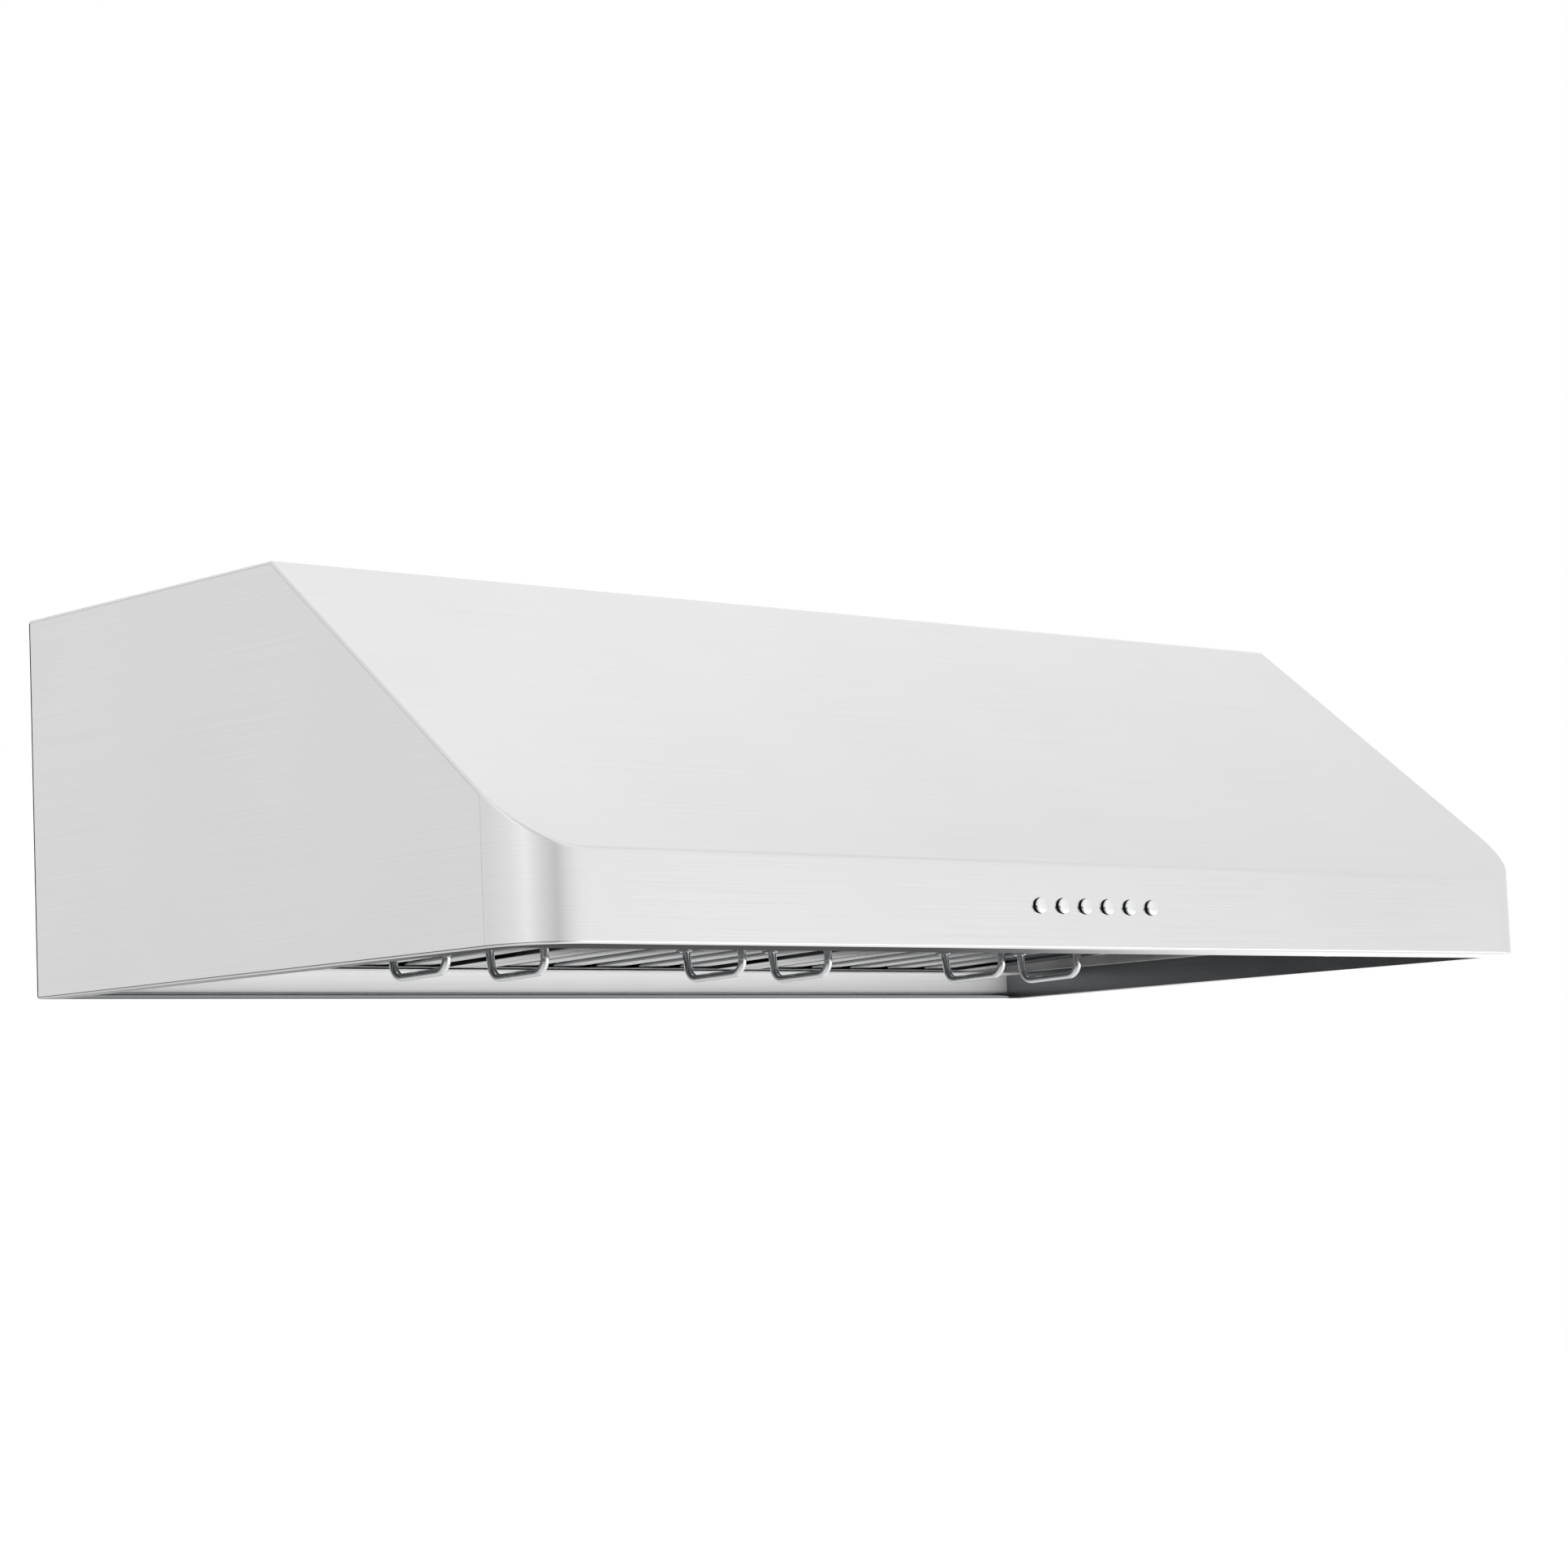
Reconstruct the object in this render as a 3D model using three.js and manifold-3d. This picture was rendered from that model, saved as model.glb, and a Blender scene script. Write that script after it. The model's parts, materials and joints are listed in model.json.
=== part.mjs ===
// Under-cabinet range hood with baffle filters, front push buttons and a rear duct outlet.
//
// Millimetres, +Z up, +X to the right for a person facing the hood. The wall is the plane
// Y = 0 and the room is towards -Y. The origin is the centre of the back panel's outer face.
// Inside this file heights are counted from the bottom rim; the whole group is lowered at the end.

import * as THREE from 'three';
import { mergeVertices } from 'three/addons/utils/BufferGeometryUtils.js';
import Module from 'manifold-3d';

const wasm = await Module();
wasm.setup();

// ---------------------------------------------------------------- driving sizes

// Canopy
const WIDTH = 914.4;
const DEPTH = 508;
const HEIGHT = 247;
const TOP_DEPTH = 272; // flat top, from the wall to the crease
const LIP_HEIGHT = 54; // upright front face
const CORNER_R = 42; // rounded front corners, in plan
const SHEET = 1.2;
const FRONT_FLANGE = 35; // bottom rim behind the lip, turned inwards
const SIDE_FLANGE = 15.7; // bottom rim along each side
const UPSTAND = 19.5; // rim turned up again along the sides, and the top of the rear ledge
const HEM_R = 2.3; // rolled bottom edge of the back
const LEDGE_DEPTH = 20; // rear ledge that the filters lie on

// Clearances
const GAP = 0.3; // between sheets that touch
const RUNNING = 0.3; // radial, round a turning or sliding piece
const SWING = 1.6; // ahead of a filter's front edge as it swings

// Duct outlet in the top
const DUCT_WIDTH = 254;
const DUCT_DEPTH = 82.5;
const DUCT_SETBACK = 25; // wall to the opening's rear edge
const NECK_HEIGHT = 24;
const NECK_FLANGE = 10;
const STOP_WIDTH = 3; // ledge that a closed damper flap lies on
const AXLE_R = 2.5;
const KNUCKLE_WALL = 1.2;
const FLAP_SHEET = 1.2;

// Filters
const FILTER_COUNT = 3;
const FILTER_SIDE_GAP = 63; // side rim to the outermost filter
const FILTER_SPACING = 1; // between neighbours
const FILTER_HEIGHT = 22;
const FILTER_TILT = 1.5; // degrees, front edge higher
const FILTER_SHEET = 0.8;
const FILTER_BORDER = 19.5;
const FILTER_OVERLAP = 13; // behind the line the filter tips on
const BAFFLE_COUNT = 5;
const BAFFLE_FLOOR = 22;
const BAFFLE_FLARE = 3;
const LOWER_BAFFLE_HEIGHT = 8;
const UPPER_BAFFLE_HEIGHT = 12;
const UPPER_BAFFLE_BASE = 6.5; // above the frame's underside

// Bail handles, two on each filter
const HANDLE_ROD = 6;
const HANDLE_SPAN = 54.5; // between the legs' centre lines
const HANDLE_SETBACK = 190.7; // wall to the handle's middle
const HANDLE_BEND = 9;
const HANDLE_LEAN = 3; // top of the rear leg further back
const HANDLE_FOOT = 12;

// Panels that close the gap beside the outer filters
const FILLER_HEIGHT = 14;
const FILLER_RUNNING = 2; // filler to the filter beside it
const FILLER_DROP = 10; // inner edge, turned down

// Light panel and lamps
const LIGHT_RUN = 84; // level length of the sloping part
const LIGHT_RISE = 22.4;
const LIGHT_LAP = 12; // over the front rim
const DIVIDER_TOP = 62;
const LAMP_SPREAD = 570;
const LAMP_R = 32;
const LENS_R = 25.9;
const LAMP_DEPTH = 16;
const BEZEL_PROUD = 4;
const BEZEL_WALL = 1.5;
const BEZEL_SLEEVE = 2;
const BEZEL_LIP = 1.4; // over the lens's edge
const LENS_THICKNESS = 2.5;
const LAMP_STUB = 6; // cable end of the lamp module
const DRIVER_SIZE = new THREE.Vector3(90, 26, 22);
const DRIVER_TAB = new THREE.Vector3(10, 2, 18);
const DRIVER_BASE = 34; // above the bottom rim

// Push buttons
const BUTTON_COUNT = 6;
const BUTTON_PITCH = 20.6;
const BUTTON_R = 4.7;
const BUTTON_RISE = 27; // above the bottom rim
const BUTTON_PROUD = 2.5;
const BUTTON_EDGE = 0.4;
const BUTTON_COLLAR = 1.3;
const BUTTON_TRAVEL = 2;
const HOUSING_DEPTH = 10;
const HOUSING_HEIGHT = 24;
const HOUSING_MARGIN = 13; // outermost button to the housing's end
const COLLAR_DEPTH = 2.6; // housing's face to the shoulder that stops a collar
const COLLAR_THICKNESS = 1.5;
const BOARD = 1.6;
const BOARD_MARGIN = 1;
const CONNECTOR_WIDTH = 20;
const CONNECTOR_HEIGHT = 15;
const RELAY_WIDTH = 28;
const RELAY_HEIGHT = 9;

// Blower
const BLOWER_DROP = 97; // top of the hood to the shaft
const SCROLL_WIDTH = 240;
const SCROLL_SMALL_R = 71;
const SCROLL_LARGE_R = 100;
const SCROLL_SHEET = 1;
const INLET_R = 44;
const WHEEL_R = 65;
const WHEEL_WIDTH = 200;
const BLADE_COUNT = 16;
const BLADE_DEPTH = 9;
const BLADE_PITCH = 0.6; // radians, turned from the tangent
const WHEEL_RIM = 3; // end rings, along the shaft
const SHAFT_R = 4;
const BOSS_R = 12;
const MOTOR_R = 42;
const MOTOR_LENGTH = 62;
const MOTOR_STANDOFF = 14;
const HANGER_WIDTH = 30;
const HANGER_DROP = 40;
const HANGER_FOOT = 26;
const HANGER_SETBACK = 30; // shaft to the hangers, towards the lip
const BRACKET_SHEET = 1.5; // hangers, motor bracket and neck
const BRACKET_ARM = 18; // width
const SCREW_SPREAD = 18;
const SCREW_DROP = 30; // top of the hood to the hanger screws

// Electrical box, capacitor and wiring
const BOX_SIZE = new THREE.Vector3(86, 66, 44);
const BOX_CENTRE_X = 290;
const BOX_SETBACK = 12;
const CABLE_HOLE_R = 11;
const CAPACITOR_R = 14;
const CAPACITOR_LENGTH = 50;
const CAPACITOR_MARGIN = 6; // from the scroll's inlet
const STRAP_SHEET = 1.2;
const STRAP_WIDTH = 16;
const BOX_SHEET = 1;
const HARNESS_R = 3.5;

// Fixing slots in the top
const KEYHOLE_SPREAD_X = 760;
const KEYHOLE_SPREAD_Y = 180;
const KEYHOLE_R = 6;
const KEYHOLE_SLOT = 12;

const SCREW_HEAD_R = 4;

// ---------------------------------------------------------------- places worked out from them

const HALF_W = WIDTH / 2;
const SLOPE_RUN = DEPTH - TOP_DEPTH;
const SLOPE_RISE = HEIGHT - LIP_HEIGHT;
const SLOPE_LENGTH = Math.hypot(SLOPE_RUN, SLOPE_RISE);
const RIM_X = HALF_W - SIDE_FLANGE;
const UNDER_TOP = HEIGHT - SHEET - GAP;

const PIVOT_Y = -LEDGE_DEPTH - SHEET - GAP;
const TILT = THREE.MathUtils.degToRad(FILTER_TILT);
const PIVOT_Z = UPSTAND + GAP + FILTER_OVERLAP * Math.sin(TILT);
const DIVIDER_Y = -(DEPTH - FRONT_FLANGE - LIGHT_RUN);
const FILTER_PITCH = (2 * RIM_X - 2 * FILTER_SIDE_GAP) / FILTER_COUNT;
const FILTER_WIDTH = FILTER_PITCH - FILTER_SPACING;
const FILTER_REACH = (PIVOT_Y - DIVIDER_Y - SWING) * Math.cos(TILT);
const BAFFLE_WIDTH = BAFFLE_FLOOR + 2 * BAFFLE_FLARE;
const BAFFLE_SPAN = FILTER_WIDTH - 2 * FILTER_BORDER;
const BAFFLE_PITCH = (BAFFLE_SPAN + BAFFLE_WIDTH) / (BAFFLE_COUNT + 1); // slots of equal width

const BLOWER_Y = -DUCT_SETBACK - SCROLL_LARGE_R;
const BLOWER_Z = HEIGHT - BLOWER_DROP;
const NECK_BASE = HEIGHT - NECK_HEIGHT;
const SCROLL_TOP = NECK_BASE - GAP;
const DUCT_Y = -DUCT_SETBACK - DUCT_DEPTH / 2;
const TONGUE_Y = -DUCT_SETBACK - DUCT_DEPTH;
const TONGUE_ANGLE = Math.acos((TONGUE_Y - BLOWER_Y) / SCROLL_SMALL_R);
const PLATE_X = SCROLL_WIDTH / 2 + GAP;
const DAMPER_Z = NECK_BASE + 10;

const LIP_INNER_Y = -DEPTH + SHEET;
const HOUSING_Y = LIP_INNER_Y + GAP;
const HOUSING_HALF_X = ((BUTTON_COUNT - 1) * BUTTON_PITCH) / 2 + HOUSING_MARGIN;

// Height of the sloping face, or of a face parallel to it and that far inside.
function slopeZ(y, inset = 0) {
  return LIP_HEIGHT + ((y + DEPTH) * SLOPE_RISE - inset * SLOPE_LENGTH) / SLOPE_RUN;
}

function slopeY(z, inset = 0) {
  return ((z - LIP_HEIGHT) * SLOPE_RUN + inset * SLOPE_LENGTH) / SLOPE_RISE - DEPTH;
}

// ---------------------------------------------------------------- shape helpers

const AXIS_X = new THREE.Vector3(1, 0, 0);
const AXIS_Y = new THREE.Vector3(0, 1, 0);
const AXIS_Z = new THREE.Vector3(0, 0, 1);

function outline(points) {
  return new THREE.Shape(points.map(([a, b]) => new THREE.Vector2(a, b)));
}

function circle(x, y, r, sides = 16) {
  const turn = (2 * Math.PI) / sides;
  const points = Array.from({ length: sides }, (_, i) => [
    x + r * Math.cos(i * turn),
    y + r * Math.sin(i * turn),
  ]);
  return outline(points);
}

function extrude(shape, length) {
  return new THREE.ExtrudeGeometry(shape, { depth: length, bevelEnabled: false });
}

// A Y-Z outline drawn out along X.
function alongX(shape, x0, x1) {
  const turned = new THREE.Matrix4().makeBasis(AXIS_Y, AXIS_Z, AXIS_X);
  return extrude(shape, x1 - x0).applyMatrix4(turned).translate(x0, 0, 0);
}

// An X-Z outline drawn out along Y.
function alongY(shape, y0, y1) {
  const turned = new THREE.Matrix4().makeBasis(AXIS_X, AXIS_Z, AXIS_Y.clone().negate());
  return extrude(shape, y1 - y0).applyMatrix4(turned).translate(0, y1, 0);
}

// An X-Y outline drawn out along Z.
function alongZ(shape, z0, z1) {
  return extrude(shape, z1 - z0).translate(0, 0, z0);
}

function block(x0, x1, y0, y1, z0, z1) {
  const box = new THREE.BoxGeometry(x1 - x0, y1 - y0, z1 - z0);
  return box.translate((x0 + x1) / 2, (y0 + y1) / 2, (z0 + z1) / 2);
}

// Outline of a bent sheet: a line of points, thickened to its left.
function bentSheet(points, thickness) {
  const line = points.map(([a, b]) => new THREE.Vector2(a, b));
  const normals = line.slice(1).map((point, i) => {
    const along = point.clone().sub(line[i]).normalize();
    return new THREE.Vector2(-along.y, along.x);
  });
  const offset = line.map((point, i) => {
    const before = normals[Math.max(i - 1, 0)];
    const after = normals[Math.min(i, normals.length - 1)];
    const mitre = before.clone().add(after).divideScalar(1 + before.dot(after));
    return point.clone().addScaledVector(mitre, thickness);
  });
  return new THREE.Shape([...line, ...offset.reverse()]);
}

// A round bar along straight runs joined by bends.
function bentRod(points, radius, bend, steps, sides = 8) {
  const stops = points.map((p) => new THREE.Vector3(...p));
  const path = new THREE.CurvePath();
  let from = stops[0];
  for (let i = 1; i < stops.length - 1; i += 1) {
    const corner = stops[i];
    const into = corner.clone().add(stops[i - 1].clone().sub(corner).setLength(bend));
    const out = corner.clone().add(stops[i + 1].clone().sub(corner).setLength(bend));
    path.add(new THREE.LineCurve3(from, into));
    path.add(new THREE.QuadraticBezierCurve3(into, corner, out));
    from = out;
  }
  path.add(new THREE.LineCurve3(from, stops[stops.length - 1]));
  return new THREE.ExtrudeGeometry(circle(0, 0, radius, sides), {
    steps,
    bevelEnabled: false,
    extrudePath: path,
  });
}

// A turned piece on the X axis from its [distance along, radius] profile.
function turnedX(profile, sides = 24) {
  const points = profile.map(([along, r]) => new THREE.Vector2(r, along));
  return new THREE.LatheGeometry(points, sides).rotateZ(-Math.PI / 2);
}

// A turned piece on the Z axis from its [radius, height] profile.
function turnedZ(profile, sides = 24) {
  const points = profile.map(([r, z]) => new THREE.Vector2(r, z));
  return new THREE.LatheGeometry(points, sides).rotateX(Math.PI / 2);
}

function toSolid(geometry) {
  const bare = geometry.clone();
  bare.deleteAttribute('normal');
  bare.deleteAttribute('uv');
  const merged = mergeVertices(bare, 1e-4);
  const vertProperties = new Float32Array(merged.attributes.position.array);
  const triVerts = new Uint32Array(merged.index.array);
  return new wasm.Manifold(new wasm.Mesh({ numProp: 3, vertProperties, triVerts }));
}

function toGeometry(solid) {
  const mesh = solid.getMesh();
  const geometry = new THREE.BufferGeometry();
  geometry.setAttribute('position', new THREE.BufferAttribute(mesh.vertProperties, 3));
  geometry.setIndex(new THREE.BufferAttribute(mesh.triVerts, 1));
  geometry.computeVertexNormals();
  return geometry;
}

function join(geometries) {
  return geometries.map(toSolid).reduce((whole, next) => whole.add(next));
}

function cut(solid, geometries) {
  return geometries.map(toSolid).reduce((whole, next) => whole.subtract(next), solid);
}

// ---------------------------------------------------------------- finishes and the scene graph

const FINISHES = {
  brushed_steel: { color: 0xd9dadc, roughness: 0.34, metalness: 1 },
  filter_steel: { color: 0xc4c6c8, roughness: 0.3, metalness: 1 },
  handle_steel: { color: 0xdcdde0, roughness: 0.22, metalness: 1 },
  galvanised: { color: 0xb4b8bb, roughness: 0.5, metalness: 0.9 },
  chrome: { color: 0xe8e9eb, roughness: 0.12, metalness: 1 },
  lens: { color: 0xf3f4f2, roughness: 0.25, metalness: 0 },
  motor_paint: { color: 0x3a3c3f, roughness: 0.55, metalness: 0.2 },
  black_plastic: { color: 0x1c1d1f, roughness: 0.5, metalness: 0 },
  grey_plastic: { color: 0xb9babb, roughness: 0.5, metalness: 0 },
  board_green: { color: 0x2e5a3c, roughness: 0.45, metalness: 0 },
  cast_aluminium: { color: 0xc9cacc, roughness: 0.4, metalness: 0.9 },
};

const hood = new THREE.Group();

function addPart(name, geometry, finish, parent = hood) {
  const mesh = new THREE.Mesh(geometry, new THREE.MeshStandardMaterial(FINISHES[finish]));
  mesh.name = name;
  parent.add(mesh);
}

// ---------------------------------------------------------------- canopy sheets

// The hood's outer form, with every face moved in by inset.
function hoodForm(inset) {
  const front = -DEPTH + inset;
  const back = -inset;
  const top = HEIGHT - inset;
  const profile = outline([
    [back, inset],
    [front, inset],
    [front, slopeZ(front, inset)],
    [slopeY(top, inset), top],
    [back, top],
  ]);
  const side = HALF_W - inset;
  const r = CORNER_R - inset;
  const plan = new THREE.Shape();
  plan.moveTo(side, back);
  plan.lineTo(-side, back);
  plan.lineTo(-side, front + r);
  plan.absarc(-side + r, front + r, r, Math.PI, 1.5 * Math.PI);
  plan.lineTo(side - r, front);
  plan.absarc(side - r, front + r, r, 1.5 * Math.PI, 2 * Math.PI);
  const upright = toSolid(alongZ(plan, 0, HEIGHT));
  return toSolid(alongX(profile, -side, side)).intersect(upright);
}

function keyholes() {
  const middle = -TOP_DEPTH / 2;
  const holes = [];
  for (const x of [-KEYHOLE_SPREAD_X / 2, KEYHOLE_SPREAD_X / 2]) {
    for (const y of [middle - KEYHOLE_SPREAD_Y / 2, middle + KEYHOLE_SPREAD_Y / 2]) {
      holes.push(alongZ(circle(x, y, KEYHOLE_R), HEIGHT - 2 * SHEET, HEIGHT + SHEET));
      const half = KEYHOLE_R / 2;
      holes.push(block(x - half, x + half, y, y + KEYHOLE_SLOT, HEIGHT - 2 * SHEET, HEIGHT + SHEET));
    }
  }
  return holes;
}

function buttonXs() {
  return Array.from({ length: BUTTON_COUNT }, (_, i) => (i - (BUTTON_COUNT - 1) / 2) * BUTTON_PITCH);
}

function hoodShell() {
  const folds = [
    block(-RIM_X - SHEET, -RIM_X, -DEPTH + CORNER_R, 0, 0, UPSTAND),
    block(RIM_X, RIM_X + SHEET, -DEPTH + CORNER_R, 0, 0, UPSTAND),
    block(-RIM_X, RIM_X, -LEDGE_DEPTH, 0, UPSTAND - SHEET, UPSTAND),
    alongX(circle(-HEM_R, HEM_R, HEM_R, 12), -RIM_X, RIM_X),
  ];
  const duct = block(
    -DUCT_WIDTH / 2, DUCT_WIDTH / 2,
    TONGUE_Y, TONGUE_Y + DUCT_DEPTH,
    HEIGHT - 2 * SHEET, HEIGHT + SHEET,
  );
  const cableHole = alongZ(
    circle(BOX_CENTRE_X, -BOX_SETBACK - BOX_SIZE.y / 2, CABLE_HOLE_R),
    HEIGHT - 2 * SHEET, HEIGHT + SHEET,
  );
  const buttonHoles = buttonXs().map((x) =>
    alongY(circle(x, BUTTON_RISE, BUTTON_R + RUNNING), -DEPTH - SHEET, -DEPTH + 2 * SHEET));
  const rimOpening = block(-RIM_X, RIM_X, -DEPTH + FRONT_FLANGE, -SHEET, -SHEET, 2 * SHEET);
  const walls = cut(hoodForm(0).subtract(hoodForm(SHEET)), [rimOpening]).add(join(folds));
  return cut(walls, [duct, cableHole, ...buttonHoles, ...keyholes()]);
}

// The zone in plan that belongs to the back panel: its sheet up to the mitred corners, and
// between the side rims its hem and ledge.
function backZone(grow) {
  const half = HALF_W + grow;
  const sheet = SHEET + GAP / 2 + grow;
  const inner = RIM_X - GAP / 2 + grow;
  const reach = LEDGE_DEPTH + SHEET;
  return alongZ(outline([
    [-half - SHEET, SHEET],
    [-half + sheet, -sheet],
    [-inner, -sheet],
    [-inner, -reach],
    [inner, -reach],
    [inner, -sheet],
    [half - sheet, -sheet],
    [half + SHEET, SHEET],
  ]), -SHEET, HEIGHT + SHEET);
}

// Everything above a plane parallel to the sloping face and that far inside it.
function aboveSlope(inset) {
  const low = -DEPTH - SHEET;
  const high = HEIGHT + DEPTH;
  return alongX(outline([
    [low, slopeZ(low, inset)],
    [slopeY(high, inset), high],
    [low, high],
  ]), -WIDTH, WIDTH);
}

function addCanopy() {
  const shell = hoodShell();
  const seamY = -DEPTH + CORNER_R;
  const underTop = toSolid(block(-WIDTH, WIDTH, -2 * DEPTH, DEPTH, -SHEET, UNDER_TOP));
  const topSlab = toSolid(block(-WIDTH, WIDTH, -2 * DEPTH, DEPTH, HEIGHT - SHEET, HEIGHT + SHEET));
  const below = shell.intersect(underTop);

  const frontZone = join([
    block(-WIDTH, WIDTH, -2 * DEPTH, seamY - GAP / 2, -SHEET, HEIGHT),
    aboveSlope(SHEET),
  ]);
  const behind = below.subtract(join([
    block(-WIDTH, WIDTH, -2 * DEPTH, seamY + GAP / 2, -SHEET, HEIGHT),
    aboveSlope(SHEET + GAP),
  ]));
  const sides = behind.subtract(toSolid(backZone(GAP / 2)));
  const leftHalf = toSolid(block(-WIDTH, 0, -2 * DEPTH, DEPTH, -SHEET, HEIGHT));

  addPart('top_panel', toGeometry(shell.intersect(topSlab)), 'brushed_steel');
  addPart('front_canopy', toGeometry(below.intersect(frontZone)), 'brushed_steel');
  addPart('side_panel_left', toGeometry(sides.intersect(leftHalf)), 'brushed_steel');
  addPart('side_panel_right', toGeometry(sides.subtract(leftHalf)), 'brushed_steel');
  addPart('back_panel', toGeometry(behind.intersect(toSolid(backZone(-GAP / 2)))), 'brushed_steel');
}

// A panel beside each outer filter, standing on the side rim.
function addFillers() {
  const low = UPSTAND + GAP;
  const outer = RIM_X + SHEET;
  const inner = RIM_X - FILTER_SIDE_GAP + FILLER_RUNNING;
  for (const [name, side] of [['left', -1], ['right', 1]]) {
    const section = bentSheet([
      [side * outer, low],
      [side * outer, low + FILLER_HEIGHT],
      [side * inner, low + FILLER_HEIGHT],
      [side * inner, low + FILLER_HEIGHT - FILLER_DROP],
    ], side * SHEET);
    addPart(`filter_filler_${name}`, alongY(section, DIVIDER_Y + GAP, -SHEET - GAP), 'brushed_steel');
  }
}

// ---------------------------------------------------------------- lamps and their panel

const LIGHT_ANGLE = Math.atan2(LIGHT_RISE, LIGHT_RUN);
const LIGHT_BASE_Z = SHEET + GAP;
const LIGHT_HALF_X = RIM_X - 1;

// Places a piece made on the Z axis square to the light panel's underside, facing down.
function onLightPanel(geometry, x) {
  const y = -DEPTH + FRONT_FLANGE + LIGHT_RUN / 2;
  return geometry.rotateX(LIGHT_ANGLE).translate(x, y, LIGHT_BASE_Z + LIGHT_RISE / 2);
}

function addLightPanel() {
  const start = -DEPTH + FRONT_FLANGE;
  const profile = bentSheet([
    [start - LIGHT_LAP, LIGHT_BASE_Z],
    [start, LIGHT_BASE_Z],
    [DIVIDER_Y, LIGHT_BASE_Z + LIGHT_RISE],
    [DIVIDER_Y, DIVIDER_TOP],
    [DIVIDER_Y - LIGHT_LAP, DIVIDER_TOP],
  ], SHEET);
  const hole = circle(0, 0, LENS_R + BEZEL_SLEEVE + RUNNING, 24);
  const holes = [-1, 1].map((side) =>
    onLightPanel(alongZ(hole, -LAMP_DEPTH, LAMP_DEPTH), side * LAMP_SPREAD / 2));
  const panel = cut(toSolid(alongX(profile, -LIGHT_HALF_X, LIGHT_HALF_X)), holes);
  addPart('light_panel', toGeometry(panel), 'brushed_steel');
}

function addLamps() {
  const sleeve = LENS_R + BEZEL_SLEEVE;
  const bore = LENS_R + RUNNING;
  const lipR = LENS_R - BEZEL_LIP;
  for (const [name, side] of [['left', -1], ['right', 1]]) {
    const x = side * LAMP_SPREAD / 2;
    const bezel = turnedZ([
      [lipR, -BEZEL_PROUD],
      [LAMP_R - 1, -BEZEL_PROUD],
      [LAMP_R, -BEZEL_PROUD + 1],
      [LAMP_R, -GAP],
      [sleeve, -GAP],
      [sleeve, LAMP_DEPTH],
      [bore, LAMP_DEPTH],
      [bore, -BEZEL_PROUD + BEZEL_WALL],
      [lipR, -BEZEL_PROUD + BEZEL_WALL],
      [lipR, -BEZEL_PROUD],
    ]);
    const window = lipR - RUNNING;
    const seat = -BEZEL_PROUD + BEZEL_WALL + GAP;
    const back = seat + LENS_THICKNESS;
    const lens = turnedZ([
      [0, -BEZEL_PROUD - 0.6],
      [window * 0.55, -BEZEL_PROUD - 0.4],
      [window * 0.85, -BEZEL_PROUD + 0.1],
      [window, -BEZEL_PROUD + 0.9],
      [window, seat],
      [LENS_R, seat],
      [LENS_R, back],
      [0, back],
    ]);
    const lamp = turnedZ([
      [0, back + GAP],
      [LENS_R, back + GAP],
      [LENS_R, LAMP_DEPTH],
      [LENS_R * 0.6, LAMP_DEPTH],
      [LENS_R * 0.6, LAMP_DEPTH + LAMP_STUB],
      [0, LAMP_DEPTH + LAMP_STUB],
    ], 24);
    addPart(`lamp_bezel_${name}`, onLightPanel(bezel, x), 'chrome');
    addPart(`lamp_lens_${name}`, onLightPanel(lens, x), 'lens');
    addPart(`lamp_module_${name}`, onLightPanel(lamp, x), 'cast_aluminium');
  }
}

function addLampDriver() {
  const x = LAMP_SPREAD / 4;
  const rear = DIVIDER_Y - SHEET - GAP;
  const half = DRIVER_SIZE.x / 2;
  const reach = half + DRIVER_TAB.x;
  const middle = DRIVER_BASE + DRIVER_SIZE.z / 2;
  const tab = DRIVER_TAB.z / 2;
  const body = join([
    block(x - half, x + half, rear - DRIVER_SIZE.y, rear, DRIVER_BASE, DRIVER_BASE + DRIVER_SIZE.z),
    block(x - reach, x + reach, rear - DRIVER_TAB.y, rear, middle - tab, middle + tab),
  ]);
  addPart('lamp_driver', toGeometry(body), 'grey_plastic');
}

// ---------------------------------------------------------------- push buttons

const COLLAR_R = BUTTON_R + BUTTON_COLLAR;
const SHOULDER_Y = HOUSING_Y + COLLAR_DEPTH;

function addSwitchHousing() {
  const low = BUTTON_RISE - HOUSING_HEIGHT / 2;
  const high = BUTTON_RISE + HOUSING_HEIGHT / 2;
  const body = block(-HOUSING_HALF_X, HOUSING_HALF_X, HOUSING_Y, HOUSING_Y + HOUSING_DEPTH, low, high);
  const holes = buttonXs().flatMap((x) => [
    alongY(circle(x, BUTTON_RISE, BUTTON_R + RUNNING), HOUSING_Y - SHEET, SHOULDER_Y + 0.1),
    alongY(circle(x, BUTTON_RISE, COLLAR_R + RUNNING), SHOULDER_Y, HOUSING_Y + HOUSING_DEPTH + SHEET),
  ]);
  addPart('switch_housing', toGeometry(cut(toSolid(body), holes)), 'black_plastic');
}

function addControlBoard() {
  const y = HOUSING_Y + HOUSING_DEPTH + GAP;
  const half = HOUSING_HALF_X - BOARD_MARGIN;
  const low = BUTTON_RISE - HOUSING_HEIGHT / 2 + BOARD_MARGIN;
  const high = BUTTON_RISE + HOUSING_HEIGHT / 2 - BOARD_MARGIN;
  const inset = 6;
  const connectors = [0, 1].map((i) => {
    const x = -half + inset + i * (CONNECTOR_WIDTH + inset);
    return block(x, x + CONNECTOR_WIDTH, y, y + BOARD + CONNECTOR_HEIGHT, low + 3, high - 4);
  });
  const board = join([
    block(-half, half, y, y + BOARD, low, high),
    block(half - inset - RELAY_WIDTH, half - inset, y, y + BOARD + RELAY_HEIGHT, low + 4, high - 8),
    ...connectors,
  ]);
  addPart('control_board', toGeometry(board), 'board_green');
}

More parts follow.
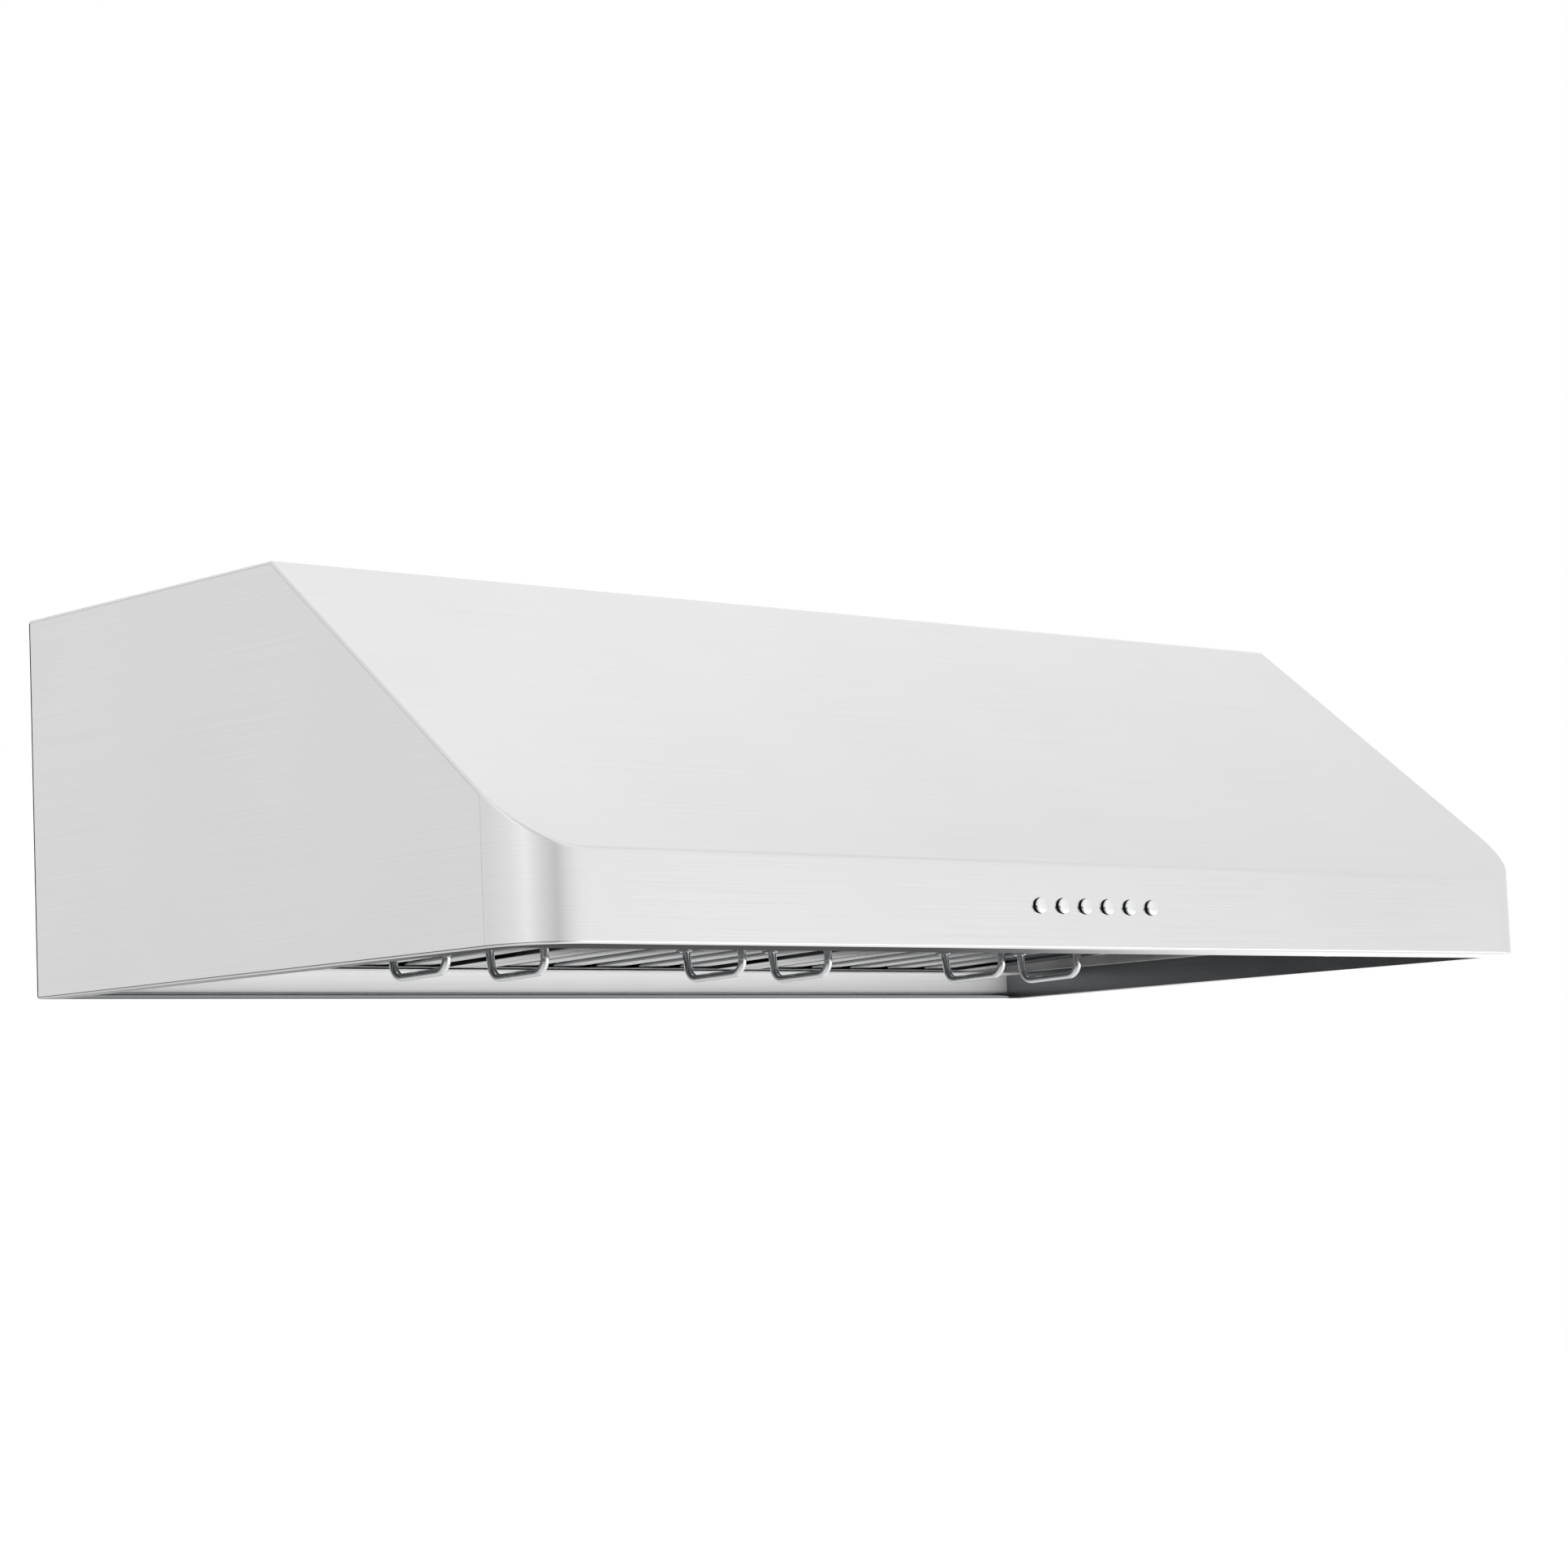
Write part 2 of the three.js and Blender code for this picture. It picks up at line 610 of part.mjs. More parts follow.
function addButtons() {
  const face = -DEPTH - BUTTON_PROUD;
  const collar = SHOULDER_Y + GAP;
  const stemEnd = HOUSING_Y + HOUSING_DEPTH - BUTTON_TRAVEL - GAP;
  const button = new THREE.LatheGeometry([
    [0, face],
    [BUTTON_R - BUTTON_EDGE, face],
    [BUTTON_R, face + BUTTON_EDGE],
    [BUTTON_R, collar],
    [COLLAR_R, collar],
    [COLLAR_R, collar + COLLAR_THICKNESS],
    [BUTTON_R * 0.6, collar + COLLAR_THICKNESS],
    [BUTTON_R * 0.6, stemEnd],
    [0, stemEnd],
  ].map(([r, y]) => new THREE.Vector2(r, y)), 16);
  buttonXs().forEach((x, i) => {
    addPart(`button_${i + 1}`, button.clone().translate(x, 0, BUTTON_RISE), 'chrome');
  });
}

// ---------------------------------------------------------------- blower

// The scroll's spiral from the tongue round to the rear wall, with the outlet's two straight ends.
function scrollLine() {
  const steps = 26;
  const sweep = 2 * Math.PI - TONGUE_ANGLE;
  const line = [[TONGUE_Y, SCROLL_TOP]];
  for (let i = 0; i <= steps; i += 1) {
    const angle = TONGUE_ANGLE + (sweep * i) / steps;
    const r = SCROLL_SMALL_R + ((SCROLL_LARGE_R - SCROLL_SMALL_R) * i) / steps;
    line.push([BLOWER_Y + r * Math.cos(angle), BLOWER_Z + r * Math.sin(angle)]);
  }
  line.push([-DUCT_SETBACK, SCROLL_TOP]);
  return line;
}

function addScroll() {
  const band = alongX(bentSheet(scrollLine(), SCROLL_SHEET), -SCROLL_WIDTH / 2, SCROLL_WIDTH / 2);
  addPart('scroll_band', band, 'galvanised');
  const inlet = circle(BLOWER_Y, BLOWER_Z, INLET_R, 32);
  for (const [name, side] of [['left', -1], ['right', 1]]) {
    const near = side * PLATE_X;
    const far = side * (PLATE_X + SCROLL_SHEET);
    const [x0, x1] = [Math.min(near, far), Math.max(near, far)];
    const plate = toSolid(alongX(outline(scrollLine()), x0, x1));
    const hole = alongX(inlet, x0 - SHEET, x1 + SHEET);
    addPart(`scroll_plate_${name}`, toGeometry(cut(plate, [hole])), 'galvanised');
  }
}

function onShaft(geometry) {
  return geometry.translate(0, BLOWER_Y, BLOWER_Z);
}

function addImpeller() {
  const half = WHEEL_WIDTH / 2;
  const ring = (x) => turnedX([
    [x, WHEEL_R - BLADE_DEPTH],
    [x, WHEEL_R],
    [x + WHEEL_RIM, WHEEL_R],
    [x + WHEEL_RIM, WHEEL_R - BLADE_DEPTH],
    [x, WHEEL_R - BLADE_DEPTH],
  ]);
  const bore = SHAFT_R + RUNNING;
  const disc = turnedX([
    [-10, bore],
    [-10, BOSS_R],
    [-1, BOSS_R],
    [-1, WHEEL_R - 1],
    [1, WHEEL_R - 1],
    [1, BOSS_R],
    [10, BOSS_R],
    [10, bore],
    [-10, bore],
  ]);
  const blades = Array.from({ length: BLADE_COUNT }, (_, i) => {
    const blade = new THREE.BoxGeometry(2 * half, BLADE_DEPTH - 1, 1.4).rotateX(BLADE_PITCH);
    blade.translate(0, WHEEL_R - BLADE_DEPTH / 2, 0);
    return blade.rotateX((i * 2 * Math.PI) / BLADE_COUNT);
  });
  const wheel = join([disc, ring(-half), ring(half - WHEEL_RIM), ...blades]);
  addPart('impeller', onShaft(toGeometry(wheel)), 'galvanised');
}

const MOTOR_X = PLATE_X + SCROLL_SHEET + MOTOR_STANDOFF;

function addShaft() {
  const end = MOTOR_X - GAP;
  const shaft = turnedX([[-BOSS_R, 0], [-BOSS_R, SHAFT_R], [end, SHAFT_R], [end, 0]], 16);
  addPart('motor_shaft', onShaft(shaft), 'handle_steel');
}

function addMotor() {
  const end = MOTOR_X + MOTOR_LENGTH;
  const body = turnedX([
    [MOTOR_X, 0],
    [MOTOR_X, MOTOR_R * 0.55],
    [MOTOR_X + 6, MOTOR_R * 0.9],
    [MOTOR_X + 12, MOTOR_R * 0.92],
    [MOTOR_X + 12, MOTOR_R],
    [end - 12, MOTOR_R],
    [end - 12, MOTOR_R * 0.92],
    [end - 4, MOTOR_R * 0.88],
    [end, MOTOR_R * 0.4],
    [end, 0],
  ]);
  addPart('motor_body', onShaft(body), 'motor_paint');
}

// Three arms from the scroll's right plate to a ring round the motor.
function addMotorBracket() {
  const plate = PLATE_X + SCROLL_SHEET + GAP;
  const ringX = MOTOR_X + 14;
  const inner = MOTOR_R + RUNNING;
  const outer = inner + 2;
  const ring = turnedX([
    [ringX, inner], [ringX, outer], [ringX + 14, outer], [ringX + 14, inner], [ringX, inner],
  ]);
  const arms = [0, 1, 2].flatMap((i) => {
    const turn = Math.PI / 2 + (i * 2 * Math.PI) / 3;
    const wide = BRACKET_ARM / 2;
    const arm = block(plate, ringX + 14, outer - 1, outer + BRACKET_SHEET, -wide, wide);
    const foot = block(plate, plate + BRACKET_SHEET, outer - 1, outer + 14, -wide, wide);
    return [arm.rotateX(turn), foot.rotateX(turn)];
  });
  addPart('motor_bracket', onShaft(toGeometry(join([ring, ...arms]))), 'galvanised');
}

function addHangers() {
  const wall = PLATE_X + SCROLL_SHEET + GAP;
  const y = BLOWER_Y - HANGER_SETBACK;
  for (const [name, side] of [['left', -1], ['right', 1]]) {
    const [y0, y1] = [y - HANGER_WIDTH / 2, y + HANGER_WIDTH / 2];
    const hanger = join([
      block(wall, wall + BRACKET_SHEET, y0, y1, UNDER_TOP - HANGER_DROP, UNDER_TOP),
      block(wall, wall + HANGER_FOOT, y0, y1, UNDER_TOP - BRACKET_SHEET, UNDER_TOP),
    ]);
    const placed = side > 0 ? hanger : hanger.mirror([1, 0, 0]);
    addPart(`blower_hanger_${name}`, toGeometry(placed), 'galvanised');
  }
}

// Pan-head screws that hold the hangers to the scroll plates.
function addHangerScrews() {
  const seat = PLATE_X + SCROLL_SHEET + 2 * GAP + BRACKET_SHEET;
  const profile = [[seat, 0], [seat, SCREW_HEAD_R], [seat + 1.6, SCREW_HEAD_R * 0.8], [seat + 2.2, 0]];
  for (const [name, side] of [['left', -1], ['right', 1]]) {
    for (const [place, step] of [['front', -SCREW_SPREAD / 2], ['rear', SCREW_SPREAD / 2]]) {
      const head = turnedX(profile, 12);
      const turned = side > 0 ? head : head.rotateZ(Math.PI);
      turned.translate(0, BLOWER_Y - HANGER_SETBACK + step, UNDER_TOP - SCREW_DROP);
      addPart(`hanger_screw_${name}_${place}`, turned, 'chrome');
    }
  }
}

function addCapacitor() {
  const x = -(PLATE_X + SCROLL_SHEET + GAP + BRACKET_SHEET + GAP + CAPACITOR_R);
  const y = BLOWER_Y - INLET_R - CAPACITOR_R - CAPACITOR_MARGIN;
  const low = BLOWER_Z - CAPACITOR_LENGTH / 2;
  const can = turnedZ([
    [0, 0],
    [CAPACITOR_R - 1, 0],
    [CAPACITOR_R, 1],
    [CAPACITOR_R, CAPACITOR_LENGTH - 2],
    [CAPACITOR_R - 2, CAPACITOR_LENGTH],
    [0, CAPACITOR_LENGTH],
  ], 24).translate(x, y, low);
  addPart('capacitor', can, 'cast_aluminium');
  const inner = CAPACITOR_R + GAP;
  const outer = inner + STRAP_SHEET;
  const plate = -(PLATE_X + SCROLL_SHEET + GAP);
  const z0 = BLOWER_Z - STRAP_WIDTH / 2;
  const z1 = BLOWER_Z + STRAP_WIDTH / 2;
  const loop = cut(toSolid(alongZ(circle(x, y, outer, 24), z0, z1)), [
    alongZ(circle(x, y, inner, 24), z0 - 1, z1 + 1),
    block(x, x + outer + 1, y - outer - 1, y + outer + 1, z0 - 1, z1 + 1),
  ]);
  const strap = loop.add(join([
    block(x - 0.5, plate, y + inner, y + outer, z0, z1),
    block(x - 0.5, plate, y - outer, y - inner, z0, z1),
    block(plate - STRAP_SHEET, plate, y - outer - 9, y - inner, z0, z1),
  ]));
  addPart('capacitor_strap', toGeometry(strap), 'galvanised');
}

// ---------------------------------------------------------------- outlet neck and damper

const NECK_HALF_X = DUCT_WIDTH / 2 - GAP;
const NECK_HALF_Y = DUCT_DEPTH / 2 - GAP;

function neckBlock(shrink, z0, z1, stop = 0) {
  const x = NECK_HALF_X - shrink;
  const y = NECK_HALF_Y - shrink - stop;
  return block(-x, x, DUCT_Y - y, DUCT_Y + y, z0, z1);
}

function addNeck() {
  const ledge = DAMPER_Z - FLAP_SHEET / 2 - GAP;
  const outer = join([
    neckBlock(0, NECK_BASE, HEIGHT - GAP),
    neckBlock(-NECK_FLANGE, UNDER_TOP - BRACKET_SHEET, UNDER_TOP),
  ]);
  const throats = [
    neckBlock(SHEET, NECK_BASE - 1, HEIGHT, STOP_WIDTH),
    neckBlock(SHEET, NECK_BASE - 1, ledge - BRACKET_SHEET),
    neckBlock(SHEET, ledge, HEIGHT),
    alongX(circle(DUCT_Y, DAMPER_Z, AXLE_R + RUNNING, 16), -DUCT_WIDTH, DUCT_WIDTH),
  ];
  addPart('outlet_neck', toGeometry(cut(outer, throats)), 'galvanised');
  const end = NECK_HALF_X;
  const axle = turnedX([[-end, 0], [-end, AXLE_R], [end, AXLE_R], [end, 0]], 16);
  addPart('damper_axle', axle.translate(0, DUCT_Y, DAMPER_Z), 'handle_steel');
}

// Two flaps on one axle, their knuckles side by side along it.
function addDamperFlaps() {
  const bore = AXLE_R + RUNNING;
  const knuckle = bore + KNUCKLE_WALL;
  const clear = knuckle + 0.6;
  const halfX = NECK_HALF_X - SHEET - 1.5;
  const reach = NECK_HALF_Y - SHEET - 1;
  const length = (2 * halfX) / 5 - 1;
  const half = FLAP_SHEET / 2;
  for (const [name, side, slots] of [['front', -1, [-2, 0.5]], ['rear', 1, [-0.5, 2]]]) {
    const pieces = [block(-halfX, halfX, clear, reach, -half, half)];
    for (const slot of slots) {
      const x = (slot * 2 * halfX) / 5;
      const [x0, x1] = [x - length / 2, x + length / 2];
      pieces.push(alongX(circle(0, 0, knuckle, 16), x0, x1));
      pieces.push(block(x0, x1, 0, clear + 1, -half, half));
    }
    const flap = cut(join(pieces), [alongX(circle(0, 0, bore, 16), -halfX - 1, halfX + 1)]);
    const placed = side > 0 ? flap : flap.mirror([0, 1, 0]);
    addPart(`damper_flap_${name}`, toGeometry(placed).translate(0, DUCT_Y, DAMPER_Z), 'galvanised');
  }
}

// ---------------------------------------------------------------- electrical box and wiring

function addJunctionBox() {
  const x0 = BOX_CENTRE_X - BOX_SIZE.x / 2;
  const x1 = BOX_CENTRE_X + BOX_SIZE.x / 2;
  const y1 = -BOX_SETBACK;
  const y0 = y1 - BOX_SIZE.y;
  const top = UNDER_TOP;
  const low = top - BOX_SIZE.z;
  const box = cut(toSolid(block(x0, x1, y0, y1, low, top)), [
    block(x0 + BOX_SHEET, x1 - BOX_SHEET, y0 + BOX_SHEET, y1 - BOX_SHEET, low - 1, top - BOX_SHEET),
    alongZ(circle((x0 + x1) / 2, (y0 + y1) / 2, CABLE_HOLE_R), top - 2, top + 1),
    alongX(circle((y0 + y1) / 2, low + BOX_SIZE.z / 2, HARNESS_R + 1.5, 12), x0 - 2, x0 + 2),
  ]);
  addPart('junction_box', toGeometry(box), 'galvanised');
  const cover = join([
    block(x0, x1, y0, y1, low - GAP - 1, low - GAP),
    block(x0, x1, y0 - GAP - 1, y0 - GAP, low - GAP - 1, low + 10),
    block(x0, x1, y0 - GAP - 1, y0 + 1, low - GAP - 1, low - GAP),
  ]);
  addPart('junction_cover', toGeometry(cover), 'galvanised');
}

// Fixed wiring from the electrical box, forward along the underside of the top and down to the board.
function addHarness() {
  const boxX = BOX_CENTRE_X - BOX_SIZE.x / 2;
  const boxY = -BOX_SETBACK - BOX_SIZE.y / 2;
  const boxZ = UNDER_TOP - BOX_SIZE.z / 2;
  const run = boxX - 26;
  const frontY = DIVIDER_Y - LIGHT_LAP - 20;
  const boardX = HOUSING_HALF_X - 20;
  const boardZ = BUTTON_RISE - 2;
  const harness = bentRod([
    [boxX + 8, boxY, boxZ],
    [run, boxY, boxZ],
    [run, -TOP_DEPTH + 20, boxZ],
    [run, frontY, DIVIDER_TOP + 16],
    [boardX, frontY, DIVIDER_TOP + 16],
    [boardX, frontY, boardZ],
    [boardX, HOUSING_Y + HOUSING_DEPTH + BOARD + 9 + 2 * GAP, boardZ],
  ], HARNESS_R, 14, 40);
  addPart('wiring_harness', harness, 'black_plastic');
}

// ---------------------------------------------------------------- filters

function filterFrame() {
  const x = FILTER_WIDTH / 2;
  const rear = FILTER_OVERLAP;
  const front = -FILTER_REACH;
  const s = FILTER_SHEET;
  const b = FILTER_BORDER;
  const ring = cut(toSolid(block(-x, x, front, rear, 0, FILTER_HEIGHT)), [
    block(-x + s, x - s, front + s, rear - s, s, FILTER_HEIGHT - s),
    block(-x + b, x - b, front + b, rear - b, -1, FILTER_HEIGHT + 1),
  ]);
  return toGeometry(ring);
}

// One layer of channels, floor down or up, joined by a strip across each end between two heights.
function baffleLayer(count, base, height, floorDown, stripZ) {
  const rear = FILTER_OVERLAP - FILTER_SHEET - GAP;
  const front = -FILTER_REACH + FILTER_SHEET + GAP;
  const near = BAFFLE_FLOOR / 2;
  const far = near + BAFFLE_FLARE;
  const floor = floorDown ? base : base + height;
  const rim = floorDown ? base + height : base;
  const order = floorDown ? 1 : -1;
  const pieces = Array.from({ length: count }, (_, i) => {
    const x = (i - (count - 1) / 2) * BAFFLE_PITCH;
    const section = bentSheet([
      [x - order * far, rim],
      [x - order * near, floor],
      [x + order * near, floor],
      [x + order * far, rim],
    ], FILTER_SHEET);
    return alongY(section, front, rear);
  });
  const reach = ((count - 1) / 2) * BAFFLE_PITCH + near;
  for (const y of [front, rear - FILTER_SHEET]) {
    pieces.push(block(-reach, reach, y, y + FILTER_SHEET, stripZ[0], stripZ[1]));
  }
  return toGeometry(join(pieces));
}

// A bail: two legs and a grip bar, with a flat foot on each leg under the baffle's floor.
function bailHandle(x) {
  const top = FILTER_SHEET;
  const middle = PIVOT_Y + HANDLE_SETBACK;
  const rear = -middle + HANDLE_SPAN / 2;
  const front = -middle - HANDLE_SPAN / 2;
  const r = HANDLE_ROD / 2;
  const drop = PIVOT_Z + (middle - HANDLE_SPAN / 2) * Math.sin(TILT) - r - GAP;
  const rod = bentRod([
    [x, rear + HANDLE_LEAN, top - 0.5],
    [x, rear, -drop],
    [x, front, -drop],
    [x, front, top - 0.5],
  ], r, HANDLE_BEND, 12);
  const feet = [rear + HANDLE_LEAN, front].map((y) =>
    block(x - r, x + r, y - HANDLE_FOOT / 2, y + HANDLE_FOOT / 2, top - 1.2, top));
  return toGeometry(join([rod, ...feet]));
}

function addFilters() {
  const lowerBase = FILTER_SHEET + GAP;
  const lowerStrip = [lowerBase + GAP, UPPER_BAFFLE_BASE - GAP];
  const upperStrip = [lowerBase + LOWER_BAFFLE_HEIGHT + GAP, UPPER_BAFFLE_BASE + UPPER_BAFFLE_HEIGHT - GAP];
  for (let i = 0; i < FILTER_COUNT; i += 1) {
    const filter = new THREE.Group();
    filter.position.set((i - (FILTER_COUNT - 1) / 2) * FILTER_PITCH, PIVOT_Y, PIVOT_Z);
    filter.rotation.x = -TILT;
    hood.add(filter);
    const name = `filter_${i + 1}`;
    addPart(`${name}_frame`, filterFrame(), 'filter_steel', filter);
    const lower = baffleLayer(BAFFLE_COUNT, lowerBase, LOWER_BAFFLE_HEIGHT, true, lowerStrip);
    addPart(`${name}_lower_baffles`, lower, 'filter_steel', filter);
    const upper = baffleLayer(BAFFLE_COUNT + 1, UPPER_BAFFLE_BASE, UPPER_BAFFLE_HEIGHT, false, upperStrip);
    addPart(`${name}_upper_baffles`, upper, 'filter_steel', filter);
    addPart(`${name}_handle_left`, bailHandle(-BAFFLE_PITCH), 'handle_steel', filter);
    addPart(`${name}_handle_right`, bailHandle(BAFFLE_PITCH), 'handle_steel', filter);
  }
}

// ---------------------------------------------------------------- assembly

addCanopy();
addFillers();
addLightPanel();
addLamps();
addLampDriver();
addSwitchHousing();
addControlBoard();
addButtons();
addScroll();
addImpeller();
addShaft();
addMotor();
addMotorBracket();
addHangers();
addHangerScrews();
addCapacitor();
addNeck();
addDamperFlaps();
addJunctionBox();
addHarness();
addFilters();

hood.position.z = -HEIGHT / 2;

export default hood;
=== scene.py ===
import json
import math

import bmesh
import bpy
from bpy.props import FloatProperty, FloatVectorProperty, IntProperty, PointerProperty, StringProperty
from mathutils import Matrix, Vector


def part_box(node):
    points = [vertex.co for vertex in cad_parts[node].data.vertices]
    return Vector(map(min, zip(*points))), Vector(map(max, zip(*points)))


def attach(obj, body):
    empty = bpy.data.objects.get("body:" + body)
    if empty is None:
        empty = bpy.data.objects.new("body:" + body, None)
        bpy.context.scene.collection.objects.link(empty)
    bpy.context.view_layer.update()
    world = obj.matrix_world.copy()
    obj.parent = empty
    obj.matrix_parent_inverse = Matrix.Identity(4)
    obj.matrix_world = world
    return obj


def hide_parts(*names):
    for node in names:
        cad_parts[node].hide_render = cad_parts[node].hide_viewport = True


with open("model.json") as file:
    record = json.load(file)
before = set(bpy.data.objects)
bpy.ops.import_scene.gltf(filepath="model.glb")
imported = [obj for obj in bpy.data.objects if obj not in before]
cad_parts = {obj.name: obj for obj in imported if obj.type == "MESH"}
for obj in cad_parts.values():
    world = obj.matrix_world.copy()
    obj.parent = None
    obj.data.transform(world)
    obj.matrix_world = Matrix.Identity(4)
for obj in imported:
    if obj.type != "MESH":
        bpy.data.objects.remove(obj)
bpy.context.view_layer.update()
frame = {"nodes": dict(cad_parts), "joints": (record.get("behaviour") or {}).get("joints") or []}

bl_info = {
    "name": "Range Hood Looks",
    "version": (1, 0, 0),
    "blender": (4, 5, 0),
    "location": "3D View > Sidebar > Range Hood",
    "description": "Builds the visible sheets, filters, buttons and lamps of an under-cabinet range hood",
    "category": "Object",
}

MM = 0.001

# Faces that turn by more than this meet in a sharp crease
SHARP = math.radians(35)
# How far a vertex may be from a cutting plane and still count as on it
ON_PLANE = 1e-7
# Push buttons in the lip
BUTTONS = 6


# ------------------------------------------------------------ measures taken from the frame

def points(node):
    """The corners of a CAD node's mesh."""
    return [v.co for v in frame["nodes"][node].data.vertices]


def joint(name):
    """A joint's row in the record."""
    return next(row for row in frame["joints"] if row["name"] == name)


class Hood:
    """The hood's main sizes in metres, read from the CAD nodes."""

    def __init__(self):
        self.touch = 0.02 * MM
        low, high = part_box("front_canopy")
        self.half_width = high.x
        self.depth = -low.y
        self.rim = low.z
        self.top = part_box("top_panel")[1].z
        lip = [p for p in points("front_canopy") if p.y < -self.depth + self.touch]
        self.lip_top = max(p.z for p in lip)
        self.corner_radius = self.half_width - max(p.x for p in lip)
        self.crease = min(p.y for p in points("top_panel") if p.z > self.top - self.touch)
        ledge_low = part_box("back_panel")[0]
        on_ledge = [p.z for p in points("back_panel") if p.y < ledge_low.y + self.touch]
        self.ledge_depth = -ledge_low.y
        self.upstand = max(on_ledge) - self.rim
        self.ledge_sheet = max(on_ledge) - min(on_ledge)
        side = [p for p in points("side_panel_right") if p.z > self.rim + self.upstand - self.touch]
        rim_top = [p.x for p in side if p.z < self.rim + self.upstand + self.touch]
        self.rim_x = min(rim_top)
        opening = [p for p in points("front_canopy") if abs(abs(p.x) - self.rim_x) < self.touch]
        self.front_flange = self.depth + min(p.y for p in opening)
        self.slope = Vector((0, self.crease + self.depth, self.top - self.lip_top)).normalized()
        self.slope_normal = Vector((0, -self.slope.z, self.slope.y))
        self.seam = -self.depth + self.corner_radius


HOOD = Hood()


# ------------------------------------------------------------ mesh helpers

def finish_mesh(bm, name, sharp=SHARP):
    """Turns a bmesh into an object with smooth faces and sharp creases."""
    mesh = bpy.data.meshes.new(name)
    bm.to_mesh(mesh)
    bm.free()
    mesh.shade_smooth()
    mesh.set_sharp_from_angle(angle=sharp)
    piece = bpy.data.objects.new(name, mesh)
    bpy.context.scene.collection.objects.link(piece)
    return piece


def apply_modifiers(piece):
    """Bakes a piece's modifiers into its mesh."""
    evaluated = piece.evaluated_get(bpy.context.evaluated_depsgraph_get())
    mesh = bpy.data.meshes.new_from_object(evaluated)
    piece.modifiers.clear()
    piece.data = mesh


def thicken(piece, thickness):
    """Gives a sheet its thickness, inwards."""
    solid = piece.modifiers.new("Sheet", "SOLIDIFY")
    solid.thickness = thickness
    solid.offset = -1
    solid.use_even_offset = True
    solid.use_quality_normals = True
    apply_modifiers(piece)


def pierce(piece, cutter_bm):
    """Cuts the shapes of a bmesh out of a piece."""
    cutter = finish_mesh(cutter_bm, "cutter")
    tool = piece.modifiers.new("Holes", "BOOLEAN")
    tool.operation = "DIFFERENCE"
    tool.solver = "EXACT"
    tool.object = cutter
    apply_modifiers(piece)
    bpy.data.objects.remove(cutter)


def round_edges(bm, radius):
    """Bevels every edge whose faces turn by more than 50 degrees."""
    limit = math.radians(50)
    edges = [e for e in bm.edges if len(e.link_faces) == 2 and e.calc_face_angle(0) > limit]
    bmesh.ops.bevel(
        bm, geom=edges, offset=radius, offset_type="OFFSET", segments=2,
        affect="EDGES", profile=0.5, material=-1, clamp_overlap=True,
    )


def softened(node, radius):
    """A copy of a CAD node with its loose triangles merged and its edges rounded."""
    bm = bmesh.new()
    bm.from_mesh(frame["nodes"][node].data)
    bmesh.ops.remove_doubles(bm, verts=bm.verts, dist=0.002 * MM)
    bmesh.ops.dissolve_limit(
        bm, angle_limit=math.radians(0.5), verts=bm.verts, edges=bm.edges, delimit={"NORMAL"},
    )
    round_edges(bm, radius)
    bmesh.ops.triangulate(bm, faces=[f for f in bm.faces if len(f.verts) > 4])
    return finish_mesh(bm, node + "_finished")


def lathe(bm, profile, place, steps=48):
    """Spins a [radius, height] profile round Z and moves it into place."""
    verts = [bm.verts.new((r, 0, z)) for r, z in profile]
    edges = [bm.edges.new(pair) for pair in zip(verts, verts[1:])]
    before = set(bm.verts) - set(verts)
    bmesh.ops.spin(
        bm, geom=verts + edges, cent=(0, 0, 0), axis=(0, 0, 1), angle=2 * math.pi,
        steps=steps, use_merge=True,
    )
    made = [v for v in bm.verts if v not in before]
    bmesh.ops.remove_doubles(bm, verts=made, dist=0.001 * MM)
    made = [v for v in bm.verts if v not in before]
    faces = [f for f in bm.faces if f.verts[0] not in before]
    bmesh.ops.recalc_face_normals(bm, faces=faces)
    bmesh.ops.transform(bm, matrix=place, verts=made)


def cylinder(bm, place, radius, length, segments=32):
    """A closed cylinder along Z, centred before it is placed."""
    bmesh.ops.create_cone(
        bm, cap_ends=True, segments=segments, radius1=radius, radius2=radius, depth=length,
        matrix=place,
    )


def block(bm, low, high, place=Matrix()):
    """A box between two corners, given before it is placed."""
    low, high = Vector(low), Vector(high)
    size = Matrix.Diagonal((*(high - low), 1))
    bmesh.ops.create_cube(bm, size=1, matrix=place @ Matrix.Translation((low + high) / 2) @ size)


def flatten_normals(piece):
    """Keeps flat faces flat up to their rounded edges, by weighting each normal by area."""
    weighted = piece.modifiers.new("Normals", "WEIGHTED_NORMAL")
    weighted.keep_sharp = True
    weighted.weight = 100
    apply_modifiers(piece)


def show(piece, body, slot, *nodes):
    """Declares a piece: its body and the CAD nodes that it stands for. The slot is not used."""
    flatten_normals(piece)
    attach(piece, body)
    if nodes:
        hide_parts(*nodes)


GRAIN = "Grain"


def perimeter(x, y):
    """Distance round the hood's outline in plan, from the middle of the lip."""
    straight = HOOD.half_width - HOOD.corner_radius
    over, back = abs(x) - straight, y - HOOD.seam
    if over < 0 and back < 0:
        return x
    if back < 0:
        return math.copysign(straight + HOOD.corner_radius * math.atan2(over, -back), x)
    return math.copysign(straight + HOOD.corner_radius * math.pi / 2 + back, x)


